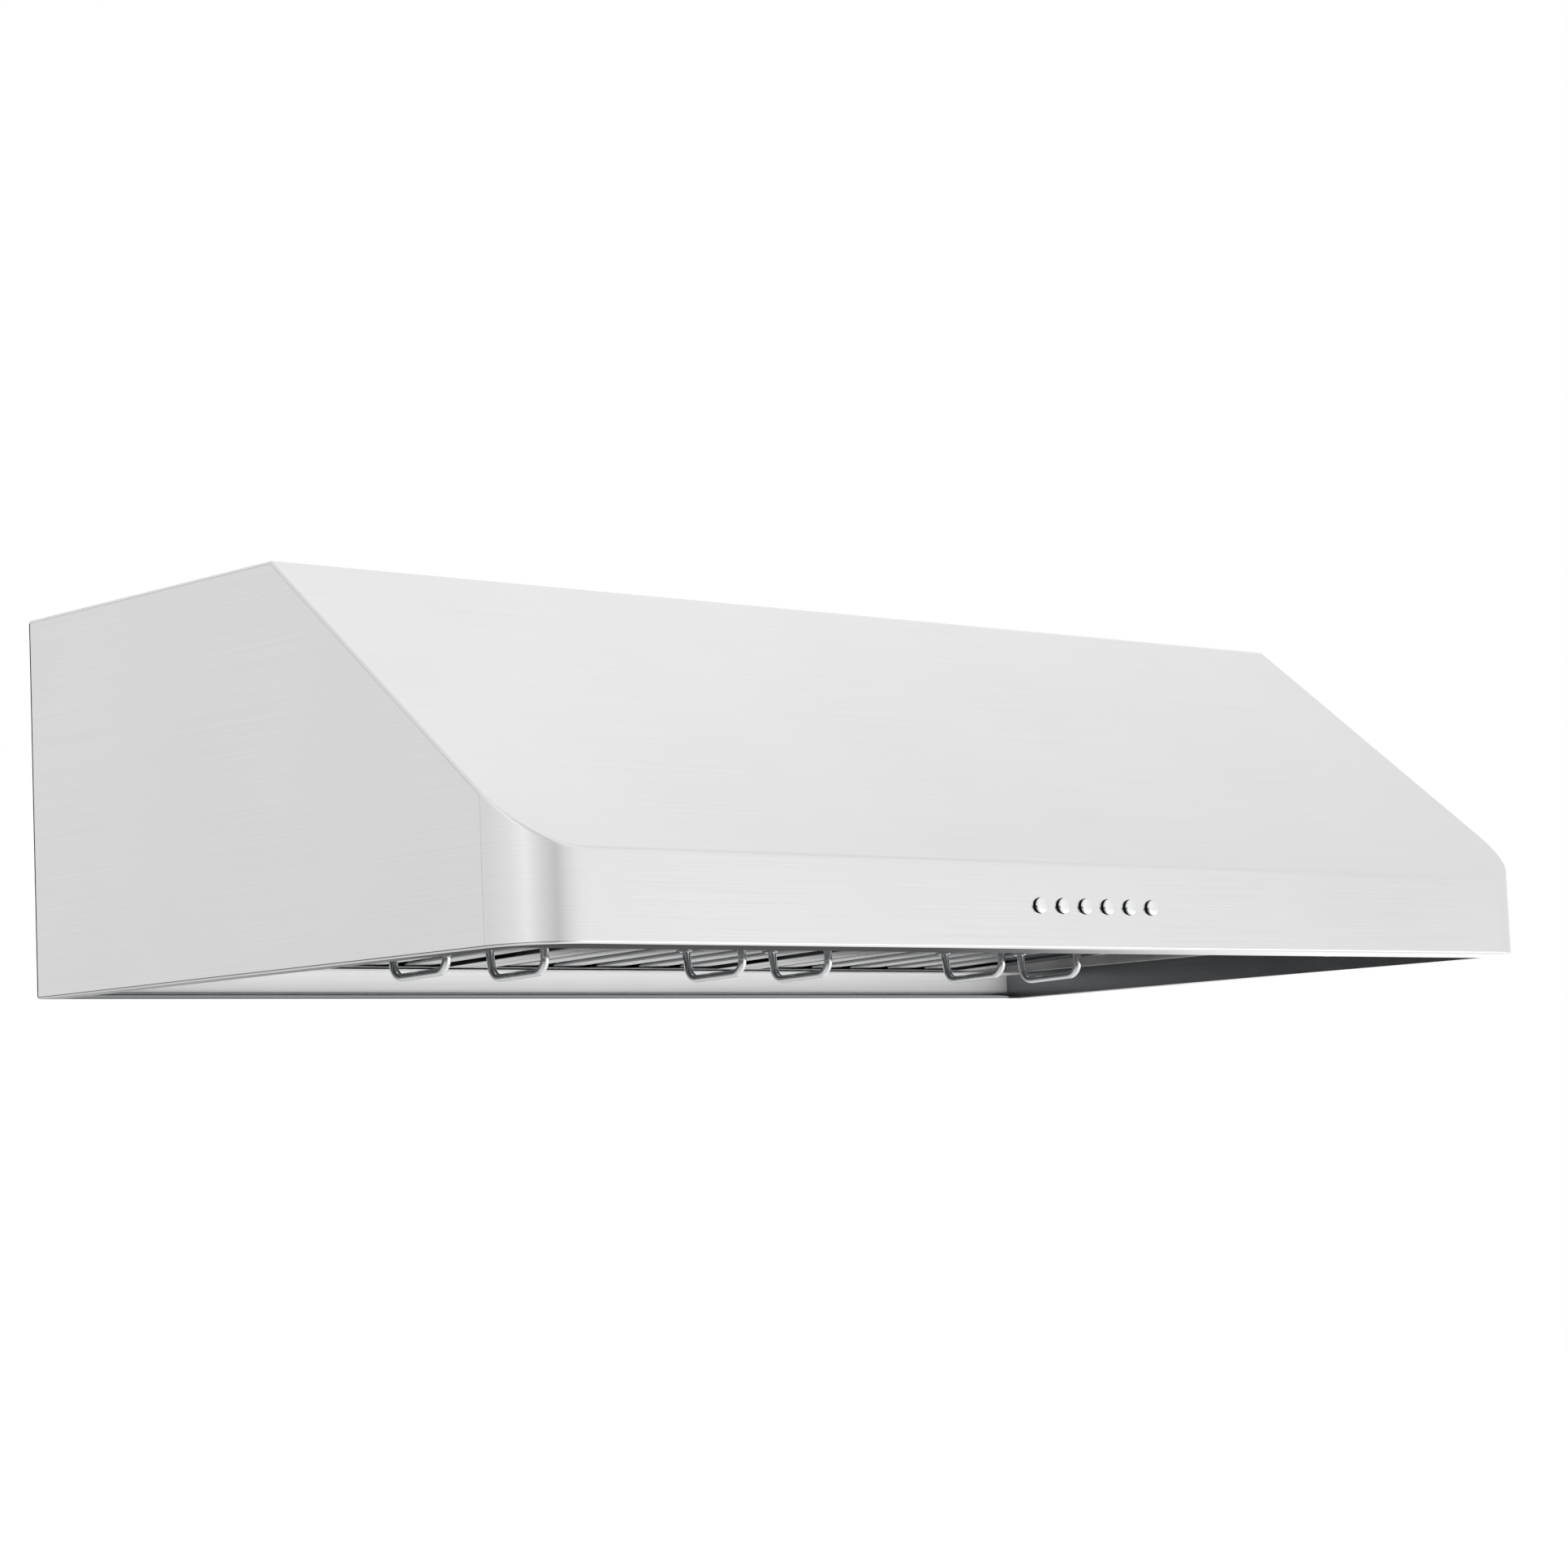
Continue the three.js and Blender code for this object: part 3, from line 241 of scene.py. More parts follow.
def lay_grain(piece):
    """Stores the flat pattern of a bent sheet in metres, so that its grain runs round the bends."""
    mesh = piece.data
    layer = mesh.uv_layers.new(name=GRAIN)
    for polygon in mesh.polygons:
        upper = polygon.center.z > HOOD.rim + HOOD.upstand and abs(polygon.normal.z) > 0.5
        back = abs(polygon.normal.y) > 0.7 and polygon.center.y > HOOD.seam
        for loop in polygon.loop_indices:
            co = mesh.vertices[mesh.loops[loop].vertex_index].co
            if upper:
                flat = (co.x, co.dot(HOOD.slope))
            elif back:
                flat = (co.x, co.z)
            elif abs(polygon.normal.z) > 0.7:
                flat = (perimeter(co.x, co.y), co.x + co.y)
            else:
                flat = (perimeter(co.x, co.y), co.z)
            layer.data[loop].uv = flat


# ------------------------------------------------------------ materials

def linear(code):
    """An sRGB hex colour as linear RGBA."""
    parts = [int(code[i:i + 2], 16) / 255 for i in (1, 3, 5)]
    return [c / 12.92 if c <= 0.04045 else ((c + 0.055) / 1.055) ** 2.4 for c in parts] + [1]


def add(tree, kind, inputs=None, **settings):
    """Adds a node, sets its properties, and fills or links its inputs."""
    node = tree.nodes.new(kind)
    for key, value in settings.items():
        setattr(node, key, value)
    for socket, value in (inputs or {}).items():
        if isinstance(value, bpy.types.NodeSocket):
            tree.links.new(value, node.inputs[socket])
        else:
            node.inputs[socket].default_value = value
    return node


def new_material(name):
    """An empty material with its principled shader wired to the output."""
    material = bpy.data.materials.new(name)
    material.use_nodes = True
    tree = material.node_tree
    tree.nodes.clear()
    shader = add(tree, "ShaderNodeBsdfPrincipled")
    add(tree, "ShaderNodeOutputMaterial", {"Surface": shader.outputs[0]})
    return material, tree, shader


def set_inputs(shader, **values):
    """Sets shader sockets, with spaces written as underscores."""
    for key, value in values.items():
        shader.inputs[key.replace("_", " ")].default_value = value


def ramp(tree, fac, low, high, start=0.3, end=0.7):
    """A two-colour ramp between two shares of its input."""
    node = add(tree, "ShaderNodeValToRGB", {"Fac": fac})
    first, last = node.color_ramp.elements
    first.position, last.position = start, end
    first.color, last.color = low, high
    return node.outputs["Color"]


def spread(tree, value, low, high):
    """A 0 to 1 value spread between two others."""
    return add(tree, "ShaderNodeMapRange", {"Value": value, "To Min": low, "To Max": high}).outputs[0]


def brushed(name, light, dark, roughness, streak, grain="X", sheet=False, bump=0.02, metallic=1.0):
    """Metal polished with an abrasive belt: long fine scratches along one axis.

    streak is one scratch's length and width in metres, and grain the axis that it runs along.
    On a bent sheet the scratches follow the flat pattern that lay_grain stores.
    """
    material, tree, shader = new_material(name)
    if sheet:
        position = add(tree, "ShaderNodeUVMap", uv_map=GRAIN).outputs["UV"]
    else:
        position = add(tree, "ShaderNodeTexCoord").outputs["Object"]
    streak_length, width = streak
    scale = [1 / width] * 3
    scale["XYZ".index(grain)] = 1 / streak_length
    mapped = add(tree, "ShaderNodeMapping", {"Vector": position, "Scale": scale}).outputs[0]
    fine = add(tree, "ShaderNodeTexNoise", {"Vector": mapped, "Scale": 1.0, "Detail": 3.0, "Roughness": 0.6})
    cloud = add(tree, "ShaderNodeTexNoise", {"Vector": position, "Scale": 7.0, "Detail": 2.0})
    tone = add(tree, "ShaderNodeMix", {
        "Factor": 0.3, 2: fine.outputs["Fac"], 3: cloud.outputs["Fac"],
    }, data_type="FLOAT")
    tree.links.new(ramp(tree, tone.outputs[0], linear(dark), linear(light)), shader.inputs["Base Color"])
    rough = spread(tree, fine.outputs["Fac"], roughness * 0.8, roughness * 1.2)
    tree.links.new(rough, shader.inputs["Roughness"])
    relief = add(tree, "ShaderNodeBump", {
        "Strength": bump, "Distance": 0.05 * MM, "Height": fine.outputs["Fac"],
    })
    tree.links.new(relief.outputs[0], shader.inputs["Normal"])
    set_inputs(shader, Metallic=metallic)
    return material


def galvanised(name):
    """Zinc-coated sheet: dull silver with faint grey crystals a centimetre across."""
    material, tree, shader = new_material(name)
    position = add(tree, "ShaderNodeTexCoord").outputs["Object"]
    crystals = add(tree, "ShaderNodeTexVoronoi", {"Vector": position, "Scale": 95.0})
    bw = add(tree, "ShaderNodeRGBToBW", {"Color": crystals.outputs["Color"]}).outputs[0]
    colour = ramp(tree, bw, linear("#a9aeb1"), linear("#c3c7c9"), 0.2, 0.8)
    tree.links.new(colour, shader.inputs["Base Color"])
    tree.links.new(spread(tree, bw, 0.34, 0.52), shader.inputs["Roughness"])
    set_inputs(shader, Metallic=0.95)
    return material


def coated(name, light, dark, roughness, shine=0.5, speck=600.0, bump=0.05, depth=0.05):
    """Paint or moulded plastic: one colour with a fine texture in tone, gloss and relief."""
    material, tree, shader = new_material(name)
    position = add(tree, "ShaderNodeTexCoord").outputs["Object"]
    fine = add(tree, "ShaderNodeTexNoise", {"Vector": position, "Scale": speck, "Detail": 3.0})
    cloud = add(tree, "ShaderNodeTexNoise", {"Vector": position, "Scale": 30.0, "Detail": 2.0})
    tree.links.new(ramp(tree, cloud.outputs["Fac"], linear(dark), linear(light)), shader.inputs["Base Color"])
    rough = spread(tree, fine.outputs["Fac"], roughness - 0.06, roughness + 0.06)
    tree.links.new(rough, shader.inputs["Roughness"])
    relief = add(tree, "ShaderNodeBump", {
        "Strength": bump, "Distance": depth * MM, "Height": fine.outputs["Fac"],
    })
    tree.links.new(relief.outputs[0], shader.inputs["Normal"])
    set_inputs(shader, IOR=1.5, Specular_IOR_Level=shine)
    return material


def circuit_board():
    """Green solder-masked fibreglass with paler copper tracks two millimetres apart."""
    material, tree, shader = new_material("Green_Solder_Mask")
    position = add(tree, "ShaderNodeTexCoord").outputs["Object"]
    tracks = add(tree, "ShaderNodeTexBrick", {
        "Vector": position, "Scale": 120.0, "Color1": linear("#1f5a35"), "Color2": linear("#276a3f"),
        "Mortar": linear("#3c8a57"), "Mortar Size": 0.03,
    })
    tree.links.new(tracks.outputs["Color"], shader.inputs["Base Color"])
    tree.links.new(spread(tree, tracks.outputs["Fac"], 0.3, 0.45), shader.inputs["Roughness"])
    return material


def frosted_lens():
    """Opal polycarbonate: milky white, with a faint texture that scatters the lamp's light."""
    material, tree, shader = new_material("Opal_Polycarbonate")
    position = add(tree, "ShaderNodeTexCoord").outputs["Object"]
    dimples = add(tree, "ShaderNodeTexVoronoi", {"Vector": position, "Scale": 500.0})
    tree.links.new(
        ramp(tree, dimples.outputs["Distance"], linear("#eef0f1"), linear("#fbfbfa"), 0.0, 0.6),
        shader.inputs["Base Color"],
    )
    relief = add(tree, "ShaderNodeBump", {
        "Strength": 0.3, "Distance": 0.1 * MM, "Height": dimples.outputs["Distance"],
    })
    tree.links.new(relief.outputs[0], shader.inputs["Normal"])
    tree.links.new(spread(tree, dimples.outputs["Distance"], 0.15, 0.3), shader.inputs["Roughness"])
    set_inputs(shader, IOR=1.58, Subsurface_Weight=0.3, Subsurface_Scale=0.004)
    return material


class Finish:
    """The finishes, each made once."""

    # Austenitic stainless sheet, belt-brushed along its length: pale, softly mirrored
    sheet = brushed(
        "Brushed_Stainless_Sheet", "#eaeaea", "#e2e2e2", 0.14, (0.2, 0.0006), sheet=True, bump=0.004,
    )
    # The same steel left dull from the mill, for the back. It is set less metallic than real
    # steel, which keeps it evenly pale
    mill = brushed(
        "Mill_Finish_Stainless", "#ececec", "#dfdfdf", 0.4, (0.25, 0.0012), sheet=True, metallic=0.45,
    )
    # The unpolished inner face of a fold. Its colour is set darker than the metal itself as painted shade
    # inside the rim
    inside = brushed("Unpolished_Fold_Painted_Shade", "#828486", "#747678", 0.2, (0.2, 0.0009), sheet=True)
    # Bright rolled stainless strip of the filters, grain along the channels. Its colour is set darker than
    # the metal's own as painted shade, which makes the filters look shaded deep in the recess between the
    # sheets
    filter_steel = brushed(
        "Shade_Darkened_Stainless_Strip", "#7f8183", "#707274", 0.11, (0.12, 0.0009), "Y", bump=0.004,
    )
    # Drawn stainless rod, tumbled to a satin shine
    rod = brushed("Satin_Stainless_Rod", "#e4e5e6", "#d6d8da", 0.1, (0.02, 0.0006), "Y", bump=0.004)
    # Nickel and chrome plate over a turned part
    plate = brushed("Bright_Chrome_Plate", "#f4f5f5", "#ebecee", 0.12, (0.01, 0.0008), "X")
    # Zinc-coated steel sheet: dull silver with a faint crystal pattern
    zinc = galvanised("Galvanised_Sheet")
    # Pressed aluminium: pale and slightly blue, with a soft satin gloss
    aluminium = brushed("Pressed_Aluminium", "#d6d8da", "#c4c7c9", 0.38, (0.03, 0.0012), "Z")
    # Enamel stoved on the motor's shell: near black with a low sheen
    motor_black = coated("Black_Stoved_Enamel", "#26282a", "#1d1f21", 0.42)
    # Moulded ABS of the switch housing: black with a fine eggshell texture
    black = coated("Black_Moulded_ABS", "#1c1d1f", "#151617", 0.48)
    # Button stems: black, nearly without shine. The same black on the caps' side walls is a painted dark
    # reflection
    stem = coated("Black_Nylon_And_Painted_Reflection", "#0d0d0e", "#080809", 0.6, shine=0.12)
    # The same plastic in light grey, for the lamps' driver
    grey = coated("Grey_Moulded_ABS", "#c2c3c4", "#b5b6b8", 0.5)
    # Green solder mask over copper tracks
    board = circuit_board()
    # Opal polycarbonate: milky white
    lens = frosted_lens()


def paint(piece, *finishes):
    """Sets a piece's material slots."""
    for finish in finishes:
        piece.data.materials.append(finish)


# ------------------------------------------------------------ sizes that a user can change

def length(name, description, default):
    """A length property in metres."""
    return FloatProperty(
        name=name, description=description, default=default, min=0, subtype="DISTANCE", unit="LENGTH",
    )


class SheetSizes(bpy.types.PropertyGroup):
    """Bends and seams of the canopy sheets."""

    thickness: length("Sheet", "Thickness of the stainless sheet", 1.2 * MM)
    bend: length("Bend", "Outer radius of the upper bends", 1.5 * MM)
    rim_bend: length("Rim bend", "Outer radius of the bend into the bottom rim", 1.6 * MM)
    hem: length("Hem", "Radius of the back sheet's rolled bottom edge", 2.3 * MM)
    gap: length("Seam", "Gap between neighbouring sheets", 0.12 * MM)
    corner_segments: IntProperty(
        name="Corner segments", description="Facets round a front corner", default=20, min=4,
    )


class ButtonSizes(bpy.types.PropertyGroup):
    """Push buttons."""

    radius: length("Radius", "Radius of a button's cap", 4.7 * MM)
    edge: length("Edge", "Rounding round the face", 0.35 * MM)


class FilterSizes(bpy.types.PropertyGroup):
    """Baffle filters and their bail handles."""

    sheet: length("Sheet", "Thickness of the channels", 0.8 * MM)
    floor: length("Floor", "Width of a channel's floor", 22 * MM)
    flare: length("Flare", "How far each side leans out", 3 * MM)
    lower_height: length("Lower height", "Height of a lower channel", 8 * MM)
    upper_height: length("Upper height", "Height of an upper channel", 12 * MM)
    upper_base: length("Upper base", "Underside of the filter to the upper channels' rims", 6.5 * MM)
    bend: length("Bend", "Radius of the channels' bends", 1.4 * MM)
    rod: length("Rod", "Thickness of a handle's rod", 6 * MM)
    rod_bend: length("Rod bend", "Bend radius of a handle, on its centre line", 9 * MM)
    tilt: FloatProperty(name="Tilt", description="Rise of the filters to the front",
                        default=math.radians(1.5), subtype="ANGLE", unit="ROTATION")
    channels: IntProperty(name="Channels", description="Lower channels in each filter", default=5, min=2)


class StageSizes(bpy.types.PropertyGroup):
    """Camera and floor."""

    camera: FloatVectorProperty(name="Camera", description="Camera position",
                                default=(-1.7786, -2.1406, -0.2532), subtype="TRANSLATION", unit="LENGTH")
    heading: FloatProperty(name="Heading", description="Turn of the camera to the right of straight ahead",
                           default=math.radians(42.86), subtype="ANGLE", unit="ROTATION")
    pitch: FloatProperty(name="Pitch", description="Upward tilt of the camera",
                         default=math.radians(5.76), subtype="ANGLE", unit="ROTATION")
    roll: FloatProperty(name="Roll", description="Roll of the camera",
                        default=math.radians(-2.42), subtype="ANGLE", unit="ROTATION")
    lens: FloatProperty(name="Lens", description="Focal length for a 36 mm wide sensor", default=87.78)
    floor_drop: length("Floor drop", "Rim of the hood to the floor", 3.0)


# ------------------------------------------------------------ canopy

# Reach of the cutters through the top, to each side for a block and end to end for a round one,
# and the length of those through the lip
TOP_CUT = 6 * MM
LIP_CUT = 8 * MM
NECK_CLEARANCE = 0.3 * MM
CABLE_HOLE_RADIUS = 11 * MM
BUTTON_CLEARANCE = 0.35 * MM
# Keyholes of the top: distance from the middle, head, half width and length of the slot
KEYHOLE_X, KEYHOLE_Y = 380 * MM, 90 * MM
KEYHOLE_RADIUS = 6 * MM
KEYHOLE_SLOT_HALF, KEYHOLE_SLOT_LENGTH = 3 * MM, 12 * MM
# How far past an upper bend the sheets are parted
PAST_BEND = 0.4 * MM
# An edge that reaches closer to the rim than this isn't one of the upper bends
RIM_ZONE = 10 * MM


def hood_form(sizes):
    """The hood's closed outer form with its bends rounded."""
    bm = bmesh.new()
    corners = [(1, 0), (-1, 0), (-1, -HOOD.depth), (1, -HOOD.depth)]
    base = bm.faces.new([bm.verts.new((side * HOOD.half_width, y, HOOD.rim)) for side, y in corners])
    risen = bmesh.ops.extrude_face_region(bm, geom=[base])["geom"]
    lift = [v for v in risen if isinstance(v, bmesh.types.BMVert)]
    bmesh.ops.translate(bm, verts=lift, vec=(0, 0, HOOD.top - HOOD.rim))
    bmesh.ops.recalc_face_normals(bm, faces=bm.faces)
    uprights = [
        e for e in bm.edges
        if abs(e.verts[0].co.z - e.verts[1].co.z) > MM and e.verts[0].co.y < -HOOD.depth + MM
    ]
    bmesh.ops.bevel(
        bm, geom=uprights, offset=HOOD.corner_radius, offset_type="OFFSET",
        segments=sizes.corner_segments, affect="EDGES", profile=0.5, material=-1,
    )
    cut = bmesh.ops.bisect_plane(
        bm, geom=bm.verts[:] + bm.edges[:] + bm.faces[:], dist=ON_PLANE,
        plane_co=(0, -HOOD.depth, HOOD.lip_top), plane_no=HOOD.slope_normal, clear_outer=True,
    )
    bmesh.ops.edgeloop_fill(bm, edges=[e for e in cut["geom_cut"] if isinstance(e, bmesh.types.BMEdge)])
    bmesh.ops.recalc_face_normals(bm, faces=bm.faces)
    sharp = math.radians(20)
    low_edges = [e for e in bm.edges if max(v.co.z for v in e.verts) < HOOD.rim + HOOD.touch]
    bmesh.ops.bevel(
        bm, geom=low_edges, offset=sizes.rim_bend, offset_type="OFFSET", segments=4,
        affect="EDGES", profile=0.5, material=-1,
    )
    high_edges = [
        e for e in bm.edges
        if e.calc_face_angle(0) > sharp and max(v.co.z for v in e.verts) > HOOD.lip_top - MM
        and min(v.co.z for v in e.verts) > HOOD.rim + RIM_ZONE
    ]
    bmesh.ops.bevel(
        bm, geom=high_edges, offset=sizes.bend, offset_type="OFFSET", segments=3,
        affect="EDGES", profile=0.5, material=-1,
    )
    return bm


def add_rim(bm):
    """Opens the underside, with an upstand along each side and none in front or behind."""
    x = HOOD.rim_x
    front = -HOOD.depth + HOOD.front_flange
    lines = [
        (Vector((-x, 0, 0)), Vector((1, 0, 0))), (Vector((x, 0, 0)), Vector((1, 0, 0))),
        (Vector((0, front, 0)), Vector((0, 1, 0))), (Vector((0, HOOD.seam, 0)), Vector((0, 1, 0))),
    ]
    for point, normal in lines:
        near = [f for f in bm.faces if f.normal.z < -0.999]
        around = {e for f in near for e in f.edges}
        corners = {v for f in near for v in f.verts}
        bmesh.ops.bisect_plane(
            bm, geom=[*near, *around, *corners], dist=ON_PLANE, plane_co=point, plane_no=normal,
        )
    hole = [
        f for f in bm.faces
        if f.normal.z < -0.999 and abs(f.calc_center_median().x) < x and f.calc_center_median().y > front
    ]
    rails = [
        e for f in hole for e in f.edges
        if all(abs(abs(v.co.x) - x) < HOOD.touch for v in e.verts)
        and abs(e.verts[0].co.x - e.verts[1].co.x) < HOOD.touch
        and all(v.co.y > HOOD.seam - HOOD.touch for v in e.verts)
    ]
    made = bmesh.ops.extrude_edge_only(bm, edges=list(set(rails)))["geom"]
    lift = [v for v in made if isinstance(v, bmesh.types.BMVert)]
    bmesh.ops.translate(bm, verts=lift, vec=(0, 0, HOOD.upstand))
    bmesh.ops.delete(bm, geom=hole, context="FACES")
    for f in {f for v in lift for f in v.link_faces}:
        f.normal_update()
        if f.normal.x * f.calc_center_median().x > 0:
            f.normal_flip()


def keep_zone(source, planes, inside):
    """A copy of a form, cut along planes, with only the faces whose middle is inside the zone."""
    bm = source.copy()
    for point, normal in planes:
        bmesh.ops.bisect_plane(
            bm, geom=bm.verts[:] + bm.edges[:] + bm.faces[:], dist=ON_PLANE, plane_co=point, plane_no=normal,
        )
    outside = [f for f in bm.faces if not inside(f.calc_center_median())]
    bmesh.ops.delete(bm, geom=outside, context="FACES")
    return bm


def top_holes():
    """Cutters for the duct outlet, the cable entry and the four keyholes of the top."""
    openings, keyholes, slots = bmesh.new(), bmesh.new(), bmesh.new()
    neck_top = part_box("outlet_neck")[1].z
    neck = [p for p in points("outlet_neck") if p.z > neck_top - HOOD.touch]
    x = max(p.x for p in neck) + NECK_CLEARANCE
    front = min(p.y for p in neck) - NECK_CLEARANCE
    back = max(p.y for p in neck) + NECK_CLEARANCE
    block(openings, (-x, front, HOOD.top - TOP_CUT), (x, back, HOOD.top + TOP_CUT))
    box_low, box_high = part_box("junction_box")
    centre = (box_low + box_high) / 2
    cable_entry = Matrix.Translation((centre.x, centre.y, HOOD.top))
    cylinder(openings, cable_entry, CABLE_HOLE_RADIUS, TOP_CUT)
    for side in (-1, 1):
        for end in (-1, 1):
            px, py = side * KEYHOLE_X, HOOD.crease / 2 + end * KEYHOLE_Y
            cylinder(keyholes, Matrix.Translation((px, py, HOOD.top)), KEYHOLE_RADIUS, TOP_CUT)
            block(
                slots, (px - KEYHOLE_SLOT_HALF, py, HOOD.top - TOP_CUT),
                (px + KEYHOLE_SLOT_HALF, py + KEYHOLE_SLOT_LENGTH, HOOD.top + TOP_CUT),
            )
    return [openings, keyholes, slots]


def button_holes(radius):
    """Cutters for the button holes in the lip."""
    bm = bmesh.new()
    for number in range(1, BUTTONS + 1):
        low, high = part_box(f"button_{number}")
        x, z = (low.x + high.x) / 2, (low.z + high.z) / 2
        place = Matrix.Translation((x, -HOOD.depth, z)) @ Matrix.Rotation(math.pi / 2, 4, "X")
        cylinder(bm, place, radius + BUTTON_CLEARANCE, LIP_CUT, 40)
    return bm


class HOOD_OT_canopy(bpy.types.Operator):
    """Folds the canopy, the two side sheets and the back sheet out of one rounded form"""

    bl_idname = "hood.canopy"
    bl_label = "Canopy Sheets"

    def execute(self, context):
        sizes = context.scene.hood_sheet
        form = hood_form(sizes)
        add_rim(form)
        gap = sizes.gap / 2
        edge = sizes.bend + PAST_BEND
        slope_edge = Vector((0, -HOOD.depth, HOOD.lip_top)) - HOOD.slope_normal * edge
        top_edge = Vector((0, 0, HOOD.top - edge))
        up = Vector((0, 0, 1))
        back = Vector((0, 1, 0))

        def above(c, shift=0.0):
            return (c - slope_edge).dot(HOOD.slope_normal) > -shift or c.z > top_edge.z - shift

        front_planes = [
            (Vector((0, HOOD.seam - gap, 0)), back), (slope_edge, HOOD.slope_normal), (top_edge, up),
        ]
        canopy = keep_zone(form, front_planes, lambda c: c.y < HOOD.seam - gap or above(c))
        piece = finish_mesh(canopy, "canopy_sheet")
        thicken(piece, sizes.thickness)
        for cutter in [*top_holes(), button_holes(context.scene.hood_buttons.radius)]:
            pierce(piece, cutter)
        show_sheet(piece, "front_canopy", "top_panel")

        lower = 2 * gap
        sheet = sizes.thickness + lower
        rest_planes = [
            (Vector((0, HOOD.seam + gap, 0)), back),
            (slope_edge - HOOD.slope_normal * lower, HOOD.slope_normal),
            (top_edge - up * lower, up),
        ]

        def on_rim(c):
            return c.z < HOOD.rim + HOOD.upstand and abs(c.x) < HOOD.half_width - sizes.rim_bend * 0.99

        for name, side in (("left", -1), ("right", 1)):
            mitre = Vector((side * HOOD.half_width, -gap, 0)), Vector((side, 1, 0)).normalized()

            def on_side(c, side=side, mitre=mitre):
                if c.y < HOOD.seam + gap or above(c, lower) or c.x * side < 0:
                    return False
                if on_rim(c):
                    return c.y < -sheet
                return c.y < -HOOD.touch and (c - mitre[0]).dot(mitre[1]) < HOOD.touch

            cuts = [*rest_planes, mitre, (Vector((0, -sheet, 0)), back)]
            panel = finish_mesh(keep_zone(form, cuts, on_side), f"side_sheet_{name}")
            thicken(panel, sizes.thickness)
            # The upstands take the second slot, the fold colour darkened as painted shade
            for face in panel.data.polygons:
                upstand = abs(face.normal.x) > 0.7 and abs(face.center.x) < HOOD.rim_x + 2 * sizes.thickness
                face.material_index = 1 if upstand else 0
            show_sheet(panel, f"side_panel_{name}", finishes=("sheet", "inside"))

        def on_back(c):
            return c.y > -HOOD.touch and not above(c, lower)

        panel = finish_mesh(keep_zone(form, [rest_planes[2]], on_back), "back_sheet")
        thicken(panel, sizes.thickness)
        add_hem_and_ledge(panel, sizes)
        show_sheet(panel, "back_panel", finishes=("mill", "inside"))
        form.free()
        for name in ("left", "right"):
            node = f"filter_filler_{name}"
            show_sheet(softened(node, 0.4 * MM), node)
        return {"FINISHED"}


def show_sheet(piece, *nodes, finishes=("sheet",)):
    """Finishes and declares one sheet of the hood's shell."""
    piece.data.set_sharp_from_angle(angle=SHARP)
    lay_grain(piece)
    paint(piece, *(getattr(Finish, finish) for finish in finishes))
    show(piece, "root", "hood_steel", *nodes)


def add_hem_and_ledge(piece, sizes):
    """Adds the rolled bottom edge and the filters' ledge to the back sheet."""
    bm = bmesh.new()
    bm.from_mesh(piece.data)
    reach = HOOD.rim_x - sizes.gap
    middle = (0, -sizes.hem, HOOD.rim + sizes.hem)
    sheet_faces = set(bm.faces)
    along = Matrix.Translation(middle) @ Matrix.Rotation(math.pi / 2, 4, "Y")
    cylinder(bm, along, sizes.hem, 2 * reach, 24)
    # The hem takes the second slot, the fold colour darkened as painted shade
    for face in set(bm.faces) - sheet_faces:
        face.material_index = 1
    top = HOOD.rim + HOOD.upstand
    block(bm, (-reach, -HOOD.ledge_depth, top - HOOD.ledge_sheet), (reach, -sizes.thickness / 2, top))
    bm.to_mesh(piece.data)
    bm.free()
    piece.data.shade_smooth()


# ------------------------------------------------------------ lamps and their panel

class HOOD_OT_lamps(bpy.types.Operator):
    """Makes the light panel, and the bezel, lens and module of each lamp"""

    bl_idname = "hood.lamps"
    bl_label = "Lamps"

    def execute(self, context):
        show_sheet(softened("light_panel", 0.3 * MM), "light_panel")
        for side in ("left", "right"):
            for part, slot, finish, radius in (
                ("bezel", "chrome", Finish.plate, 0.35), ("lens", "lens", Finish.lens, 0.3),
                ("module", "cast_aluminium", Finish.aluminium, 0.6),
            ):
                node = f"lamp_{part}_{side}"
                piece = softened(node, radius * MM)
                paint(piece, finish)
                show(piece, "root", slot, node)
        return {"FINISHED"}


# ------------------------------------------------------------ buttons

class HOOD_OT_buttons(bpy.types.Operator):
    """Turns the six push buttons: a bright face on a black stem; the black of the cap's side wall is a
    painted dark reflection
    """

    bl_idname = "hood.buttons"
    bl_label = "Push Buttons"

    def execute(self, context):
        sizes = context.scene.hood_buttons
        r, e = sizes.radius, sizes.edge
        for number in range(1, BUTTONS + 1):
            node = f"button_{number}"
            low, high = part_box(node)
            depth = high.y - low.y
            turns = [math.radians(a) for a in (0, 30, 60, 90)]
            edge = [(r - e + e * math.sin(t), e * math.cos(t) - e) for t in turns]
            crown = [(0, 0.1 * MM), (r * 0.5, 0.08 * MM)]
            face = [*crown, *edge, (r, -e * 3.5)]
            neck = r * 0.6
            stem = [(r, -6 * MM), (neck, -6.5 * MM), (neck, -depth), (0, -depth)]
            place = Matrix.Translation(((low.x + high.x) / 2, low.y, (low.z + high.z) / 2))
            place @= Matrix.Rotation(math.pi / 2, 4, "X")
            bm = bmesh.new()
            lathe(bm, face + stem, place, 56)
            # Faces behind the front, the cap's side wall among them, take the black; on the side wall it is a
            # painted dark reflection
            for f in bm.faces:
                shallow = f.calc_center_median().y < low.y + e * 4
                f.material_index = 0 if shallow else 1
            piece = finish_mesh(bm, f"button_cap_{number}")
            paint(piece, Finish.plate, Finish.stem)
            show(piece, f"{node}_body", "chrome", node)
        return {"FINISHED"}


# ------------------------------------------------------------ filters

